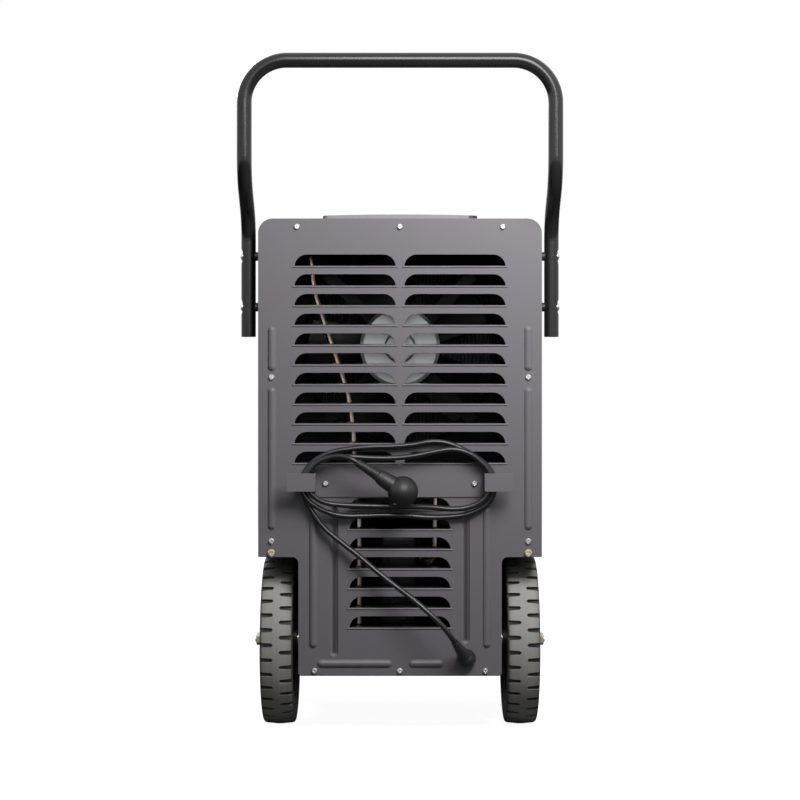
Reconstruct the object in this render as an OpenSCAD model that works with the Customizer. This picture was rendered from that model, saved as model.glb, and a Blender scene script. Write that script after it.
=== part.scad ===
// Wheeled compressor dehumidifier with a louvred back panel, push handle and cord hooks.
// The back faces +Y, the front faces -Y, and the floor is Z = 0.

/* [Casing] */
// Width of the casing
casing_w = 425; // [405:1:440]
// Depth of the casing from the front cover to the back panel
casing_d = 440; // [430:1:480]
// Height of the casing's top above the floor
casing_top = 774.5; // [765:0.5:790]
// Height of the casing's underside above the floor
clearance_h = 89.5; // [84:0.5:94]
// Radius of the bent top edges
edge_r = 22; // [16:1:28]
// Thickness of the casing's sheet steel
sheet = 1.2; // [0.9:0.1:1.6]
// Width of the wrap's rear flange, which takes the back panel's screws
rear_flange = 28; // [26:1:34]
// Width of the casing between the wheels
narrow_w = 304.6; // [296:0.2:308]
// Depth of the wheel wells
well_d = 260; // [254:1:264]
// Height of the wheel wells' ceiling above the floor
well_top = 267.5; // [264:0.5:272]
// Height of the shelf between the air path and the compressor bay
deck_z = 372; // [368:1:376]
// Height of the folded edges of the base pan and shelf
fold_h = 20; // [16:1:24]

/* [Back panel] */
// Height of a louvre's opening
louvre_h = 18.5; // [14:0.5:20]
// Distance from one louvre to the next
louvre_pitch = 29.5; // [28.5:0.1:30]
// Width of a louvre
louvre_w = 151.5; // [130:0.5:156]
// Distance between the middles of the two upper columns
column_gap = 164.5; // [160:0.5:168]
// Rows of louvres in the upper columns
upper_rows = 11; // [8:1:11]
// Height of the lowest upper row above the floor
upper_z = 407; // [405:1:412]
// Rows of louvres in the lower column
lower_rows = 7; // [4:1:7]
// Height of the lowest row of the lower column
lower_z = 160.5; // [156:0.5:162]
// Angle through which a louvre's flap is bent inwards
flap_angle = 82; // [45:1:86]
// Width of a pressed rib
rib_w = 12; // [10:0.5:14]
// Height of a pressed rib
rib_h = 3; // [2:0.1:3.4]
// Distance of the side ribs and side screws inside the casing's side
side_rib_inset = 20.5; // [18:0.5:22]
// Diameter of the small pan-head screws' heads
screw_head_d = 9; // [7:0.5:10]

/* [Handle] */
// Diameter of the handle's tube
handle_tube_d = 22; // [20:0.5:25]
// Wall of the handle's tube
handle_wall = 2; // [1.5:0.1:2.5]
// Height of the top bar's middle above the floor
handle_top = 1002; // [980:1:1040]
// Height of the tube's lower ends above the floor
handle_low = 598; // [580:0.5:606]
// Distance of the legs' lower part in front of the back panel's face
handle_front = 26; // [24:1:40]
// Distance of the top bar behind the back panel's face
handle_back = 52; // [40:1:60]
// Bend angle of the legs, by default that of a 3-4-5 triangle
handle_bend = 53.1301; // [40:0.0001:55]
// Radius of the legs' bends
handle_bend_r = 60; // [50:1:64]
// Radius of the top corners
handle_corner_r = 62; // [50:1:75]
// Height at which the legs start to bend back
handle_bend_z = 742; // [735:1:750]
// Length of the spacers between the legs and the casing
spacer_l = 6.3; // [4:0.1:8]
// Height of the lower handle bolts
bolt_z = 643; // [638:0.5:647]
// Distance between the two bolts of a leg
bolt_pitch = 76.5; // [70:0.5:80]
// Depth of the dimple pressed into the tube at each bolt
dimple = 3; // [2:0.2:4]

/* [Wheels] */
// Radius of the tyres
tyre_r = 130; // [126:0.5:132]
// Width of the tyres
tyre_w = 48.5; // [44:0.5:50]
// Thickness of the tyre's rubber
tyre_t = 36; // [30:1:40]
// Gap between the tyres and the casing's narrow part
wheel_gap = 9; // [6:0.5:10]
// Distance of the axles behind the front of the wheel wells
axle_d = 145; // [140:1:150]
// Diameter of the axle pins
axle_pin_d = 20; // [16:0.5:22]
// Running clearance between the axle pins and the hubs
axle_fit = 0.08; // [0.03:0.01:0.1]
// Notches along each shoulder of a tyre
tread_n = 36; // [30:1:36]
// Width of a tread notch at the shoulder
notch_w = 7.6; // [6:0.2:9]
// Angle by which the tread is turned about the axles
tread_turn = 3.2; // [-5:0.1:5]
// Depth of a tread notch
notch_t = 6; // [4:0.5:7]
// Width of the rib left between the two rows of notches
tread_rib = 7; // [5:0.5:10]

/* [Front feet] */
// Distance of the feet's middles inside the casing's sides
foot_inset = 15; // [14:0.5:18]
// Distance of the feet's middles behind the front
foot_back = 58; // [50:1:70]
// Width of a leg's tube
leg_w = 22; // [18:1:24]
// Length of a leg's tube
leg_l = 40; // [34:1:50]
// Height of the rubber foot
foot_h = 16; // [12:1:20]

/* [Cord hooks] */
// Distance of the hooks' walls from the middle
hook_x = 127; // [125:0.5:127.5]
// Distance of the tabs behind the back panel
hook_reach = 28; // [27.5:0.5:34]
// Height of the tabs
hook_h = 27; // [24:1:28]
// Length of the tabs
hook_l = 43; // [35:1:50]
// Thickness of the bracket's steel
hook_t = 1.5; // [1:0.1:1.8]
// Height of the tabs' middle above the floor
hook_z = 380.5; // [379:0.5:382]
// Diameter of the mains cord
cord_d = 8; // [7:0.1:8.2]

/* [Air path] */
// Height of the fan's axis above the floor
fan_z = 583; // [578:1:588]
// Diameter of the fan
fan_d = 290; // [260:2:300]
// Number of fan blades
blade_n = 5; // [4:1:6]
// Pitch of the fan blades
blade_angle = 30; // [24:1:34]
// Gap between the fan and its ring
fan_gap = 4; // [3:0.5:6]
// Distance of the fan ring's plate in front of the back panel's face
shroud_d = 176; // [174:1:182]
// Diameter of the fan motor's end plate
motor_d = 122; // [110:1:130]
// Width of the two coils
coil_w = 344; // [330:1:350]
// Height of the two coils
coil_h = 330; // [310:1:340]
// Depth of the condenser
condenser_t = 44; // [38:1:46]
// Depth of the evaporator
evaporator_t = 44; // [38:1:46]
// Spacing of the coils' fins
fin_pitch = 6; // [5.5:0.5:9]
// Width of the air filter
filter_w = 372; // [350:1:376]
// Thickness of the air filter
filter_t = 9; // [7:0.5:10]

/* [Water] */
// Width of the water tank
tank_w = 376; // [350:1:380]
// Height of the water tank
tank_h = 236; // [220:1:240]
// Wall of the water tank
tank_wall = 2.5; // [2:0.1:3.5]
// Radius of the drain spigot's outside
spigot_r = 8; // [6:0.5:9]

/* [Control panel] */
// Width of the control panel
console_w = 240; // [230:1:260]
// Depth of the control panel
console_l = 150; // [130:1:160]
// Height of the control panel's rear edge
console_h = 13.6; // [10:0.1:15]
// Crown of the control panel's top
console_crown = 2; // [1:0.1:2.5]
// Distance of the control panel's rear edge in front of the back panel's face
console_d = 100; // [90:1:110]
// Diameter of the buttons
button_d = 15; // [12:0.5:17]
// Travel of the buttons
button_travel = 1.2; // [0.8:0.1:1.4]
// Distance between the buttons
button_pitch = 27; // [24:1:29]

/* [Compressor] */
// Diameter of the compressor's can
can_d = 150; // [140:1:156]
// Height of the compressor's can
can_h = 226; // [200:1:235]
// Distance of the compressor's axis in front of the back panel's face
can_axis_d = 132; // [128:1:140]
// Diameter of the refrigerant pipes
pipe_d = 9.5; // [8:0.5:11]

/* [Hidden] */

side_x = casing_w / 2;
front_y = -(casing_d + handle_back + handle_tube_d / 2) / 2;
back_y = front_y + casing_d;
narrow_x = narrow_w / 2;
casing_h = casing_top - clearance_h;
inner_x = side_x - sheet;
base_top = clearance_h + sheet;
seat = 0.3;                 // gap left at a seat between separate bodies

// Depth of the moulded front cover and the wrap that ends behind it
cover_d = 36;
cover_wall = 3;
cover_y = front_y + cover_d;

// Places worked out from the sizes above
front_well_y = back_y - well_d;
axle_y = front_well_y + axle_d;
axle_z = tyre_r;
leg_x = side_x + spacer_l - 1 + handle_tube_d / 2;
leg_y = back_y - handle_front;
screw_top_z = casing_top - 12.3;
screw_top_x = 154;
screw_side_z = 537;
arch_screw_z = [well_top + 24, well_top + 6.2];
screw_low_z = clearance_h + 7.7;
screw_low_x = 128;
screw_shank_d = 4;
arch_bolt_d = 6;
gland_x = -99.5;
gland_z = 116.5;

// A flat plate drawn in X and Z, whose rear face is at y
module upright(y, t) {
    translate([0, y, 0]) rotate([90, 0, 0]) linear_extrude(t) children();
}

// A profile drawn in Y and Z, run along X from x by w
module along_x(x, w) {
    translate([x, 0, 0]) rotate([90, 0, 90]) linear_extrude(w) children();
}

// A rectangle from (x0, y0) to (x1, y1)
module span(x0, y0, x1, y1) {
    translate([x0, y0]) square([x1 - x0, y1 - y0]);
}

// A rectangle of size w by h with rounded corners, centred
module rounded(w, h, r) {
    square([w - 2 * r, h], center = true);
    square([w, h - 2 * r], center = true);
    for (x = [-1, 1], y = [-1, 1])
        translate([x * (w / 2 - r), y * (h / 2 - r)]) circle(r, $fn = 48);
}

// The casing's cross-section in X and Z, inset by t all round
module casing_outline(t) {
    r = edge_r - t;
    span(-side_x + t, clearance_h + t, side_x - t, casing_top - edge_r);
    span(-side_x + edge_r, clearance_h + t, side_x - edge_r, casing_top - t);
    for (x = [-1, 1])
        translate([x * (side_x - edge_r), casing_top - edge_r]) circle(r, $fn = 64);
}

// The children and their mirror image across the machine's middle
module both_sides() {
    children();
    mirror([1, 0, 0]) children();
}

// A closed tube of radius r swept through points, its rings square to the path
module tube_along(points, r, sides) {
    last = len(points) - 1;
    tangents = [for (i = [0:last])
        let (v = points[min(i + 1, last)] - points[max(i - 1, 0)]) v / norm(v)];
    rings = [for (i = [0:last])
        let (t = tangents[i],
             a = cross(t, abs(t[1]) < 0.9 ? [0, 1, 0] : [1, 0, 0]),
             u = a / norm(a),
             v = cross(t, u))
        for (k = [0:sides - 1]) points[i] + r * (cos(360 * k / sides) * u + sin(360 * k / sides) * v)];
    walls = [for (i = [0:last - 1], k = [0:sides - 1])
        let (n = (k + 1) % sides, b = i * sides)
        [b + k, b + sides + k, b + sides + n, b + n]];
    ends = [[for (k = [0:sides - 1]) k],
            [for (k = [sides - 1:-1:0]) last * sides + k]];
    polyhedron(rings, concat(walls, ends), convexity = 10);
}

// Route points given as [x, distance behind the back panel, z]
function behind(route) = [for (p = route) [p[0], back_y + p[1], p[2]]];

// ---- Back panel: a pressed sheet with D-shaped louvres and ribs ----

side_rib_x = side_x - side_rib_inset;
well_fillet = 9;
bend_r = 5;
louvre_lip = 1.6;
lip_end = 3;
rib_r = (rib_w * rib_w / 4 + rib_h * rib_h) / (2 * rib_h);
low_rib_x = narrow_x - 22.3;
groove_x = louvre_w / 2 + 22.7;
panel_join_z = 342.5;

louvres = concat(
    [for (side = [-1, 1], i = [0:upper_rows - 1])
        [side * column_gap / 2, upper_z + i * louvre_pitch]],
    [for (i = [0:lower_rows - 1]) [0, lower_z + i * louvre_pitch]]);

// Raised ribs, each [x0, z0, x1, z1] along its middle line
side_ribs = [for (x = [-side_rib_x, side_rib_x])
    each [[x, 552, x, 607], [x, 314, x, 516]]];
low_ribs = [for (x = [-low_rib_x, low_rib_x]) [x, 137.5, x, panel_join_z - rib_w / 2]];
foot_ribs = [[18, 108, 118, 108], [-60, 108, -19, 108]];
raised_ribs = concat(side_ribs, low_ribs, foot_ribs);
grooves = [[groove_x, 124.5, groove_x, panel_join_z - rib_w / 2],
           [-groove_x, 143.5, -groove_x, panel_join_z - rib_w / 2]];

panel_screws_at = concat(
    [for (x = [-screw_top_x, 0, screw_top_x]) [x, screw_top_z]],
    [for (x = [-side_rib_x, side_rib_x], z = [screw_side_z, arch_screw_z[0]]) [x, z]],
    [for (x = [-screw_low_x, 0, screw_low_x]) [x, screw_low_z]]);
arch_bolts_at = [for (x = [-side_rib_x, side_rib_x]) [x, arch_screw_z[1]]];
bracket_screws_at = [for (x = [-1, 1]) [x * (hook_x - 15.5), hook_z - 2.5]];

module holes(places, d) {
    for (p = places) translate(p) circle(d = d, $fn = 24);
}

module louvre_outline() {
    intersection() {
        union() {
            span(louvre_h - louvre_w / 2, -1, louvre_w / 2 - louvre_h, louvre_h);
            both_sides() translate([louvre_w / 2 - louvre_h, 0]) circle(louvre_h, $fn = 64);
        }
        span(-louvre_w, 0, louvre_w, louvre_h);
    }
}

module panel_outline() {
    intersection() {
        casing_outline(0);
        span(-side_x, well_top, side_x, casing_top);
    }
    both_sides() difference() {
        span(narrow_x - 1, well_top - well_fillet, narrow_x + well_fillet, well_top);
        translate([narrow_x + well_fillet, well_top - well_fillet])
            circle(well_fillet, $fn = 48);
    }
    span(-narrow_x, clearance_h + bend_r, narrow_x, well_top);
    span(-narrow_x + bend_r, clearance_h, narrow_x - bend_r, clearance_h + bend_r);
    both_sides() translate([narrow_x - bend_r, clearance_h + bend_r]) circle(bend_r, $fn = 48);
}

// The round-ended body that presses one rib, with its middle line at y
module rib_form(rib, y, r) {
    run = [rib[2] - rib[0], rib[3] - rib[1]];
    translate([rib[0], y, rib[1]]) rotate([0, atan2(run[0], run[1]), 0]) {
        cylinder(r = r, h = norm(run), $fn = 64);
        sphere(r, $fn = 64);
        translate([0, 0, norm(run)]) sphere(r, $fn = 64);
    }
}

module slab(y0, y1) {
    translate([-side_x, y0, clearance_h]) cube([casing_w, y1 - y0, casing_h]);
}

module back_panel() {
    raised_y = back_y + rib_h - rib_r;
    sunk_y = back_y - rib_h + rib_r;
    color([0.20, 0.19, 0.21]) difference() {
        union() {
            upright(back_y, sheet) difference() {
                panel_outline();
                for (l = louvres) translate(l) louvre_outline();
                holes(panel_screws_at, screw_shank_d + 0.4);
                holes(arch_bolts_at, arch_bolt_d + 0.4);
                holes(bracket_screws_at, screw_shank_d + 0.4);
                translate([gland_x, gland_z]) circle(gland_r, $fn = 48);
            }
            for (l = louvres) translate([l[0], back_y - sheet / 2, l[1]]) {
                rotate([flap_angle, 0, 0]) rotate([90, 0, 0])
                    linear_extrude(sheet, center = true) louvre_outline();
                rotate([0, 90, 0])
                    cylinder(d = 2 * louvre_lip, h = louvre_w + 2 * lip_end, center = true, $fn = 24);
            }
            intersection() {
                for (r = raised_ribs) rib_form(r, raised_y, rib_r);
                slab(back_y - sheet, back_y + rib_h + 1);
            }
            intersection() {
                for (r = grooves) rib_form(r, sunk_y, rib_r + sheet);
                slab(back_y - rib_h - sheet - 1, back_y);
            }
        }
        for (r = raised_ribs) rib_form(r, raised_y, rib_r - sheet);
        for (r = grooves) rib_form(r, sunk_y, rib_r);
    }
}

// ---- Casing ----

arch_back_y = back_y - 2 * sheet;
bulkhead_y = front_well_y - 2 * sheet;
handle_bolt_d = 8;
handle_bolts_at = [bolt_z, bolt_z + bolt_pitch];

console_y = back_y - console_d - console_l / 2;
console_hole = [console_w - 60, console_l - 50];

module casing_wrap() {
    color([0.20, 0.19, 0.21]) difference() {
        union() {
            translate([0, back_y - sheet, 0]) upright(0, back_y - sheet - cover_y) difference() {
                casing_outline(0);
                casing_outline(sheet);
                span(-inner_x, clearance_h - 1, inner_x, clearance_h + sheet + 1);
            }
            upright(back_y - sheet, sheet) difference() {
                casing_outline(sheet / 2);
                span(-side_x + rear_flange, 0, side_x - rear_flange, casing_top - rear_flange);
            }
        }
        translate([-side_x - 1, front_well_y, 0]) cube([casing_w + 2, well_d + 1, well_top]);
        upright(back_y + 1, 4) holes(panel_screws_at, screw_shank_d + 0.4);
        upright(back_y + 1, 4) holes(arch_bolts_at, arch_bolt_d + 0.4);
        for (z = handle_bolts_at) translate([0, leg_y, z]) rotate([0, 90, 0])
            cylinder(d = handle_bolt_d + 0.4, h = casing_w + 10, center = true, $fn = 32);
        translate([-console_hole[0] / 2, console_y - console_hole[1] / 2, casing_top - 5])
            cube([console_hole[0], console_hole[1], 10]);
    }
}

// A folded tray's cross-section, half_w to each side
module pan_section(half_w) {
    difference() {
        union() {
            span(-half_w, clearance_h + bend_r, half_w, clearance_h + fold_h);
            span(-half_w + bend_r, clearance_h, half_w - bend_r, clearance_h + fold_h);
            both_sides() translate([half_w - bend_r, clearance_h + bend_r]) circle(bend_r, $fn = 48);
        }
        span(-half_w + sheet, clearance_h + bend_r, half_w - sheet, clearance_h + fold_h + 1);
        span(-half_w + bend_r, base_top, half_w - bend_r, clearance_h + fold_h + 1);
        both_sides() translate([half_w - bend_r, clearance_h + bend_r])
            circle(bend_r - sheet, $fn = 48);
    }
}

narrow_pan_x = narrow_x - sheet;
runner_h = 2.3;
runner_x = tank_w / 2 - 30;

module base_pan() {
    wide_y = front_well_y - sheet;
    color([0.30, 0.30, 0.32]) difference() {
        union() {
            upright(back_y - sheet, well_d) pan_section(narrow_pan_x);
            upright(wide_y, wide_y - cover_y) pan_section(inner_x);
            upright(back_y - sheet, sheet)
                span(-narrow_pan_x + bend_r, clearance_h + 0.1,
                    narrow_pan_x - bend_r, clearance_h + fold_h);
            both_sides() upright(wide_y, sheet)
                span(narrow_pan_x - sheet, base_top - 0.5, inner_x - bend_r, clearance_h + fold_h);
            both_sides() translate([runner_x, cover_y + 2, base_top - 0.1])
                cube([12, bulkhead_y - cover_y - 10, runner_h + 0.1]);
        }
        upright(back_y + 1, 4) holes(panel_screws_at, screw_shank_d + 0.4);
        translate([-narrow_pan_x + sheet, wide_y - sheet - 1, base_top])
            cube([2 * (narrow_pan_x - sheet), 3 * sheet + 2, fold_h]);
        upright(back_y + 1, 4) translate([gland_x, gland_z]) circle(gland_r, $fn = 48);
        for (p = can_feet) translate([p[0], p[1], clearance_h - 1])
            cylinder(d = 6.5, h = 5, $fn = 24);
    }
}

module wheel_arch() {
    rear_fold = 34;
    difference() {
        union() {
            upright(arch_back_y, well_d - sheet) {
                span(narrow_pan_x, clearance_h + bend_r, narrow_x, well_top + sheet);
                span(narrow_pan_x, well_top, inner_x, well_top + sheet);
                span(inner_x - sheet, well_top, inner_x, well_top + fold_h);
            }
            upright(front_well_y, sheet)
                span(narrow_pan_x, clearance_h + 0.1, inner_x, well_top + sheet);
            upright(arch_back_y, sheet) span(narrow_pan_x, well_top, inner_x, well_top + rear_fold);
        }
        upright(back_y + 1, 5) holes(panel_screws_at, screw_shank_d + 0.4);
        upright(back_y + 1, 5) holes(arch_bolts_at, arch_bolt_d + 0.4);
        translate([narrow_pan_x - 1, axle_y, axle_z]) rotate([0, 90, 0])
            cylinder(d = axle_pin_d + 0.6, h = 4, $fn = 48);
    }
}

module wheel_arch_left() {
    color([0.20, 0.19, 0.21]) wheel_arch();
}

module wheel_arch_right() {
    color([0.20, 0.19, 0.21]) mirror([1, 0, 0]) wheel_arch();
}

drain_x = 110;
drain_y = bulkhead_y - sheet - 30;
spigot_wall = 2;

module deck() {
    color([0.55, 0.56, 0.58]) difference() {
        union() {
            translate([-inner_x, cover_y, deck_z]) cube([2 * inner_x, arch_back_y - cover_y, sheet]);
            both_sides() translate([inner_x - sheet, cover_y, deck_z - fold_h])
                cube([sheet, arch_back_y - cover_y, fold_h + 0.5]);
        }
        translate([drain_x, drain_y, deck_z - 1]) cylinder(r = spigot_r + 1, h = 5, $fn = 48);
        for (p = deck_pipes) translate([p[0], back_y + p[1], deck_z - 1])
            cylinder(d = pipe_d + 5, h = 5, $fn = 32);
    }
}

module bulkhead() {
    color([0.55, 0.56, 0.58]) union() {
        upright(bulkhead_y, sheet) {
            span(-inner_x + bend_r, base_top, inner_x - bend_r, deck_z);
            span(-inner_x + sheet + seat, clearance_h + bend_r, inner_x - sheet - seat, deck_z);
        }
        translate([-inner_x + sheet + 1, bulkhead_y, deck_z - sheet])
            cube([2 * (inner_x - sheet) - 2, fold_h, sheet]);
    }
}

// ---- Front cover, grille and filter ----

edge_front = 14;
grille_w = filter_w - 8;
grille_h = 336;
grille_z = 404;
grille_d = 12;
slat_pitch = 14;
tank_gap = 1;
tank_z = base_top + runner_h + seat;
tank_top = tank_z + tank_h;
tank_open_w = tank_w + 14;
tank_open_top = tank_top + 14;
filter_y = front_y + grille_d + 4;
filter_z = grille_z - 10;
rail_t = 2;

// The front cover's solid form, inset by t
module cover_form(t) {
    intersection() {
        upright(cover_y + t, cover_d) casing_outline(t);
        translate([0, 0, clearance_h]) linear_extrude(casing_h) {
            span(-side_x + t, front_y + edge_front, side_x - t, cover_y + t);
            span(-side_x + edge_front, front_y + t, side_x - edge_front, cover_y + t);
            both_sides() translate([side_x - edge_front, front_y + edge_front])
                circle(edge_front - t, $fn = 48);
        }
        along_x(-side_x, casing_w) {
            span(front_y + t, clearance_h, cover_y + t, casing_top - edge_front);
            span(front_y + edge_front, clearance_h, cover_y + t, casing_top - t);
            translate([front_y + edge_front, casing_top - edge_front])
                circle(edge_front - t, $fn = 48);
        }
    }
}

module front_panel() {
    rail_x = filter_w / 2 + 0.6;
    rail_y = filter_y + filter_t + 0.6;
    color([0.13, 0.13, 0.14]) difference() {
        union() {
            difference() {
                cover_form(0);
                cover_form(cover_wall);
            }
            both_sides() {
                translate([rail_x, front_y + 1, filter_z - 3])
                    cube([rail_t, rail_y - front_y, casing_top - filter_z - 20]);
                translate([rail_x - 8, rail_y, filter_z - 3])
                    cube([8 + rail_t, rail_t, casing_top - filter_z - 20]);
            }
            translate([-rail_x - rail_t, front_y + 1, filter_z - 3 - rail_t])
                cube([2 * (rail_x + rail_t), rail_y + rail_t - front_y - 1, rail_t + 0.1 + 3 - seat]);
        }
        translate([-grille_w / 2 - seat, front_y - 1, grille_z - seat])
            cube([grille_w + 2 * seat, cover_wall + 2, grille_h + 2 * seat]);
        translate([-tank_open_w / 2, front_y - 1, clearance_h + cover_wall + 0.2])
            cube([tank_open_w, cover_d + 2, tank_open_top - clearance_h - cover_wall - 0.2]);
        translate([-filter_w / 2 - 0.6, filter_y - 0.6, casing_top - 30])
            cube([filter_w + 1.2, filter_t + 1.2, 40]);
    }
}

module front_grille() {
    slats = floor((grille_h - 20) / slat_pitch);
    flange_x = filter_w / 2 + 0.6 - seat;
    color([0.10, 0.10, 0.11]) {
        difference() {
            translate([-grille_w / 2, front_y + 0.8, grille_z]) cube([grille_w, grille_d - 0.8, grille_h]);
            translate([-grille_w / 2 + 8, front_y, grille_z + 8])
                cube([grille_w - 16, grille_d + 1, grille_h - 16]);
        }
        upright(front_y + cover_wall + seat + 2, 2) difference() {
            span(-flange_x, grille_z - 6, flange_x, grille_z + grille_h + 6);
            span(-grille_w / 2 + 8, grille_z + 8, grille_w / 2 - 8, grille_z + grille_h - 8);
        }
        for (i = [1:slats])
            translate([0, 0, grille_z + (grille_h - (slats + 1) * slat_pitch) / 2 + i * slat_pitch])
                along_x(-grille_w / 2 + 7, grille_w - 14)
                    polygon([[front_y + 1.4, -2], [front_y + 3.4, -2],
                             [front_y + 11, 5], [front_y + 9, 5]]);
        both_sides() translate([grille_w / 6 - 2, front_y + 2.5, grille_z + 7])
            cube([4, 8, grille_h - 14]);
    }
}

module filter_frame() {
    h = casing_top - filter_z;
    border = 13;
    color([0.16, 0.17, 0.18]) {
        upright(filter_y + filter_t, filter_t) difference() {
            span(-filter_w / 2, filter_z, filter_w / 2, casing_top);
            span(-filter_w / 2 + border, filter_z + border, filter_w / 2 - border, casing_top - border);
        }
        upright(filter_y + filter_t, 3) {
            for (x = [-filter_w / 6, filter_w / 6])
                span(x - 2.5, filter_z + border - 1, x + 2.5, casing_top - border + 1);
            span(-filter_w / 2 + border - 1, filter_z + h / 2 - 2.5,
                 filter_w / 2 - border + 1, filter_z + h / 2 + 2.5);
        }
        translate([-30, filter_y + 2, casing_top - 1]) cube([60, filter_t - 4, 7]);
    }
}

module filter_mesh() {
    border = 13;
    color([0.30, 0.32, 0.33]) upright(filter_y + filter_t - 3, 1.2)
        span(-filter_w / 2 + border, filter_z + border, filter_w / 2 - border, casing_top - border);
}

// ---- Screws, bolts and nuts ----

// A pan-head screw on the back panel's face, pointing forwards
module pan_screw(place, face, head_d, shank_d, length) {
    translate([place[0], back_y + face, place[1]]) rotate([-90, 0, 0]) {
        intersection() {
            cylinder(d = head_d, h = head_d * 0.34, $fn = 32);
            translate([0, 0, head_d * (0.34 - 0.75)]) sphere(head_d * 0.75, $fn = 48);
        }
        translate([0, 0, -length]) cylinder(d = shank_d, h = length + 0.1, $fn = 24);
    }
}

module panel_screws() {
    color([0.80, 0.80, 0.78])
        for (p = panel_screws_at) pan_screw(p, 0, screw_head_d, screw_shank_d, 12);
}

module arch_bolts() {
    color([0.80, 0.78, 0.68])
        for (p = arch_bolts_at) pan_screw(p, 0, 12.5, arch_bolt_d, 14);
}

module bracket_screws() {
    color([0.80, 0.80, 0.78])
        for (p = bracket_screws_at) pan_screw(p, hook_t, screw_head_d, screw_shank_d, 12);
}

// ---- Push handle ----

// Straight length and height of a leg's S-bend
leg_kick = handle_front + handle_back;
leg_slant = (leg_kick - 2 * handle_bend_r * (1 - cos(handle_bend))) / sin(handle_bend);
leg_rise = 2 * handle_bend_r * sin(handle_bend) + leg_slant * cos(handle_bend);
tube_r = handle_tube_d / 2;
dimple_r = 26;
seat_flat = 1;
bolt_head_d = 13;

module tube_section(solid) {
    difference() {
        circle(tube_r, $fn = 64);
        if (!solid) circle(tube_r - handle_wall, $fn = 64);
    }
}

// A bend that leaves +Z and leans by angle towards +Y, cut from a quarter turn
module bend(r, angle) {
    reach = r + handle_tube_d;
    translate([0, r, 0]) rotate([0, -90, 0]) rotate([0, 0, -90]) difference() {
        rotate_extrude(angle = 90, $fn = 128) translate([r, 0]) tube_section(false);
        if (angle < 90) rotate([0, 0, angle]) translate([-reach, 0, -handle_tube_d])
            cube([2 * reach, 2 * reach, 2 * handle_tube_d]);
    }
    translate([0, r * (1 - cos(angle)), r * sin(angle)]) rotate([-angle, 0, 0]) children();
}

// A straight length along +Z, with the children at its end
module straight(l) {
    linear_extrude(l) tube_section(false);
    translate([0, 0, l]) children();
}

// A leg from its lower end to the end of its top corner
module handle_leg() {
    for (z = handle_bolts_at) translate([leg_x, leg_y, z - 18]) linear_extrude(36)
        tube_section(true);
    translate([leg_x, leg_y, handle_low]) straight(handle_bend_z - handle_low)
        bend(handle_bend_r, handle_bend) straight(leg_slant)
            rotate([0, 0, 180]) bend(handle_bend_r, handle_bend)
                straight(handle_top - handle_corner_r - handle_bend_z - leg_rise)
                    rotate([0, 0, -90]) bend(handle_corner_r, 90);
}

module handle_tube() {
    bar_l = 2 * (leg_x - handle_corner_r);
    color([0.07, 0.07, 0.075]) difference() {
        union() {
            both_sides() handle_leg();
            translate([-bar_l / 2, back_y + handle_back, handle_top]) rotate([0, 90, 0])
                linear_extrude(bar_l) tube_section(false);
        }
        both_sides() for (z = handle_bolts_at) {
            translate([leg_x + tube_r - dimple + dimple_r, leg_y, z]) rotate([90, 0, 0])
                cylinder(r = dimple_r, h = handle_tube_d + 4, center = true, $fn = 256);
            translate([leg_x + tube_r - dimple, leg_y, z]) rotate([0, 90, 0])
                cylinder(d = bolt_head_d + 1, h = dimple + 2, $fn = 48);
            translate([leg_x - tube_r - 5, leg_y, z]) rotate([0, 90, 0])
                cylinder(d = 14, h = 5 + seat_flat, $fn = 32);
            translate([leg_x, leg_y, z]) rotate([0, 90, 0])
                cylinder(d = handle_bolt_d + 0.4, h = handle_tube_d + 4, center = true, $fn = 32);
        }
    }
}

module handle_spacers() {
    color([0.06, 0.06, 0.06]) both_sides() for (z = handle_bolts_at)
        translate([side_x, leg_y, z]) rotate([0, 90, 0]) difference() {
            cylinder(d = 13.4, h = spacer_l, $fn = 48);
            translate([0, 0, -1]) cylinder(d = handle_bolt_d + 0.4, h = spacer_l + 2, $fn = 32);
        }
}

// Domed bolts through the legs, each with its nut inside the casing
module handle_bolts() {
    head_x = leg_x + tube_r - dimple;
    color([0.82, 0.82, 0.80]) both_sides() for (z = handle_bolts_at)
        translate([0, leg_y, z]) rotate([0, 90, 0]) {
            translate([0, 0, inner_x - 12])
                cylinder(d = handle_bolt_d, h = head_x - inner_x + 12, $fn = 32);
            intersection() {
                translate([0, 0, head_x]) cylinder(d = bolt_head_d, h = 4.2, $fn = 32);
                translate([0, 0, head_x + 4.2 - 9]) sphere(9, $fn = 48);
            }
            translate([0, 0, inner_x - 1.6]) cylinder(d = 16, h = 1.6, $fn = 32);
            translate([0, 0, inner_x - 8.1]) cylinder(r = 7.5, h = 6.5, $fn = 6);
        }
}

// ---- Cord bracket, gland, cord and plug ----

gland_r = 8;
hook_plate_h = 46;

module cord_bracket() {
    color([0.20, 0.19, 0.21]) {
        upright(back_y + hook_t, hook_t) difference() {
            translate([0, hook_z]) rounded(2 * hook_x, hook_plate_h, 7);
            holes(bracket_screws_at, screw_shank_d + 0.4);
        }
        both_sides() {
            translate([hook_x - hook_t, back_y, hook_z - hook_h / 2])
                cube([hook_t, hook_reach, hook_h]);
            upright(back_y + hook_reach + hook_t, hook_t)
                translate([hook_x - hook_t + hook_l / 2, hook_z]) rounded(hook_l, hook_h, 2.5);
        }
    }
}

relief_tip = [-80.5, 32, 145];

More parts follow.
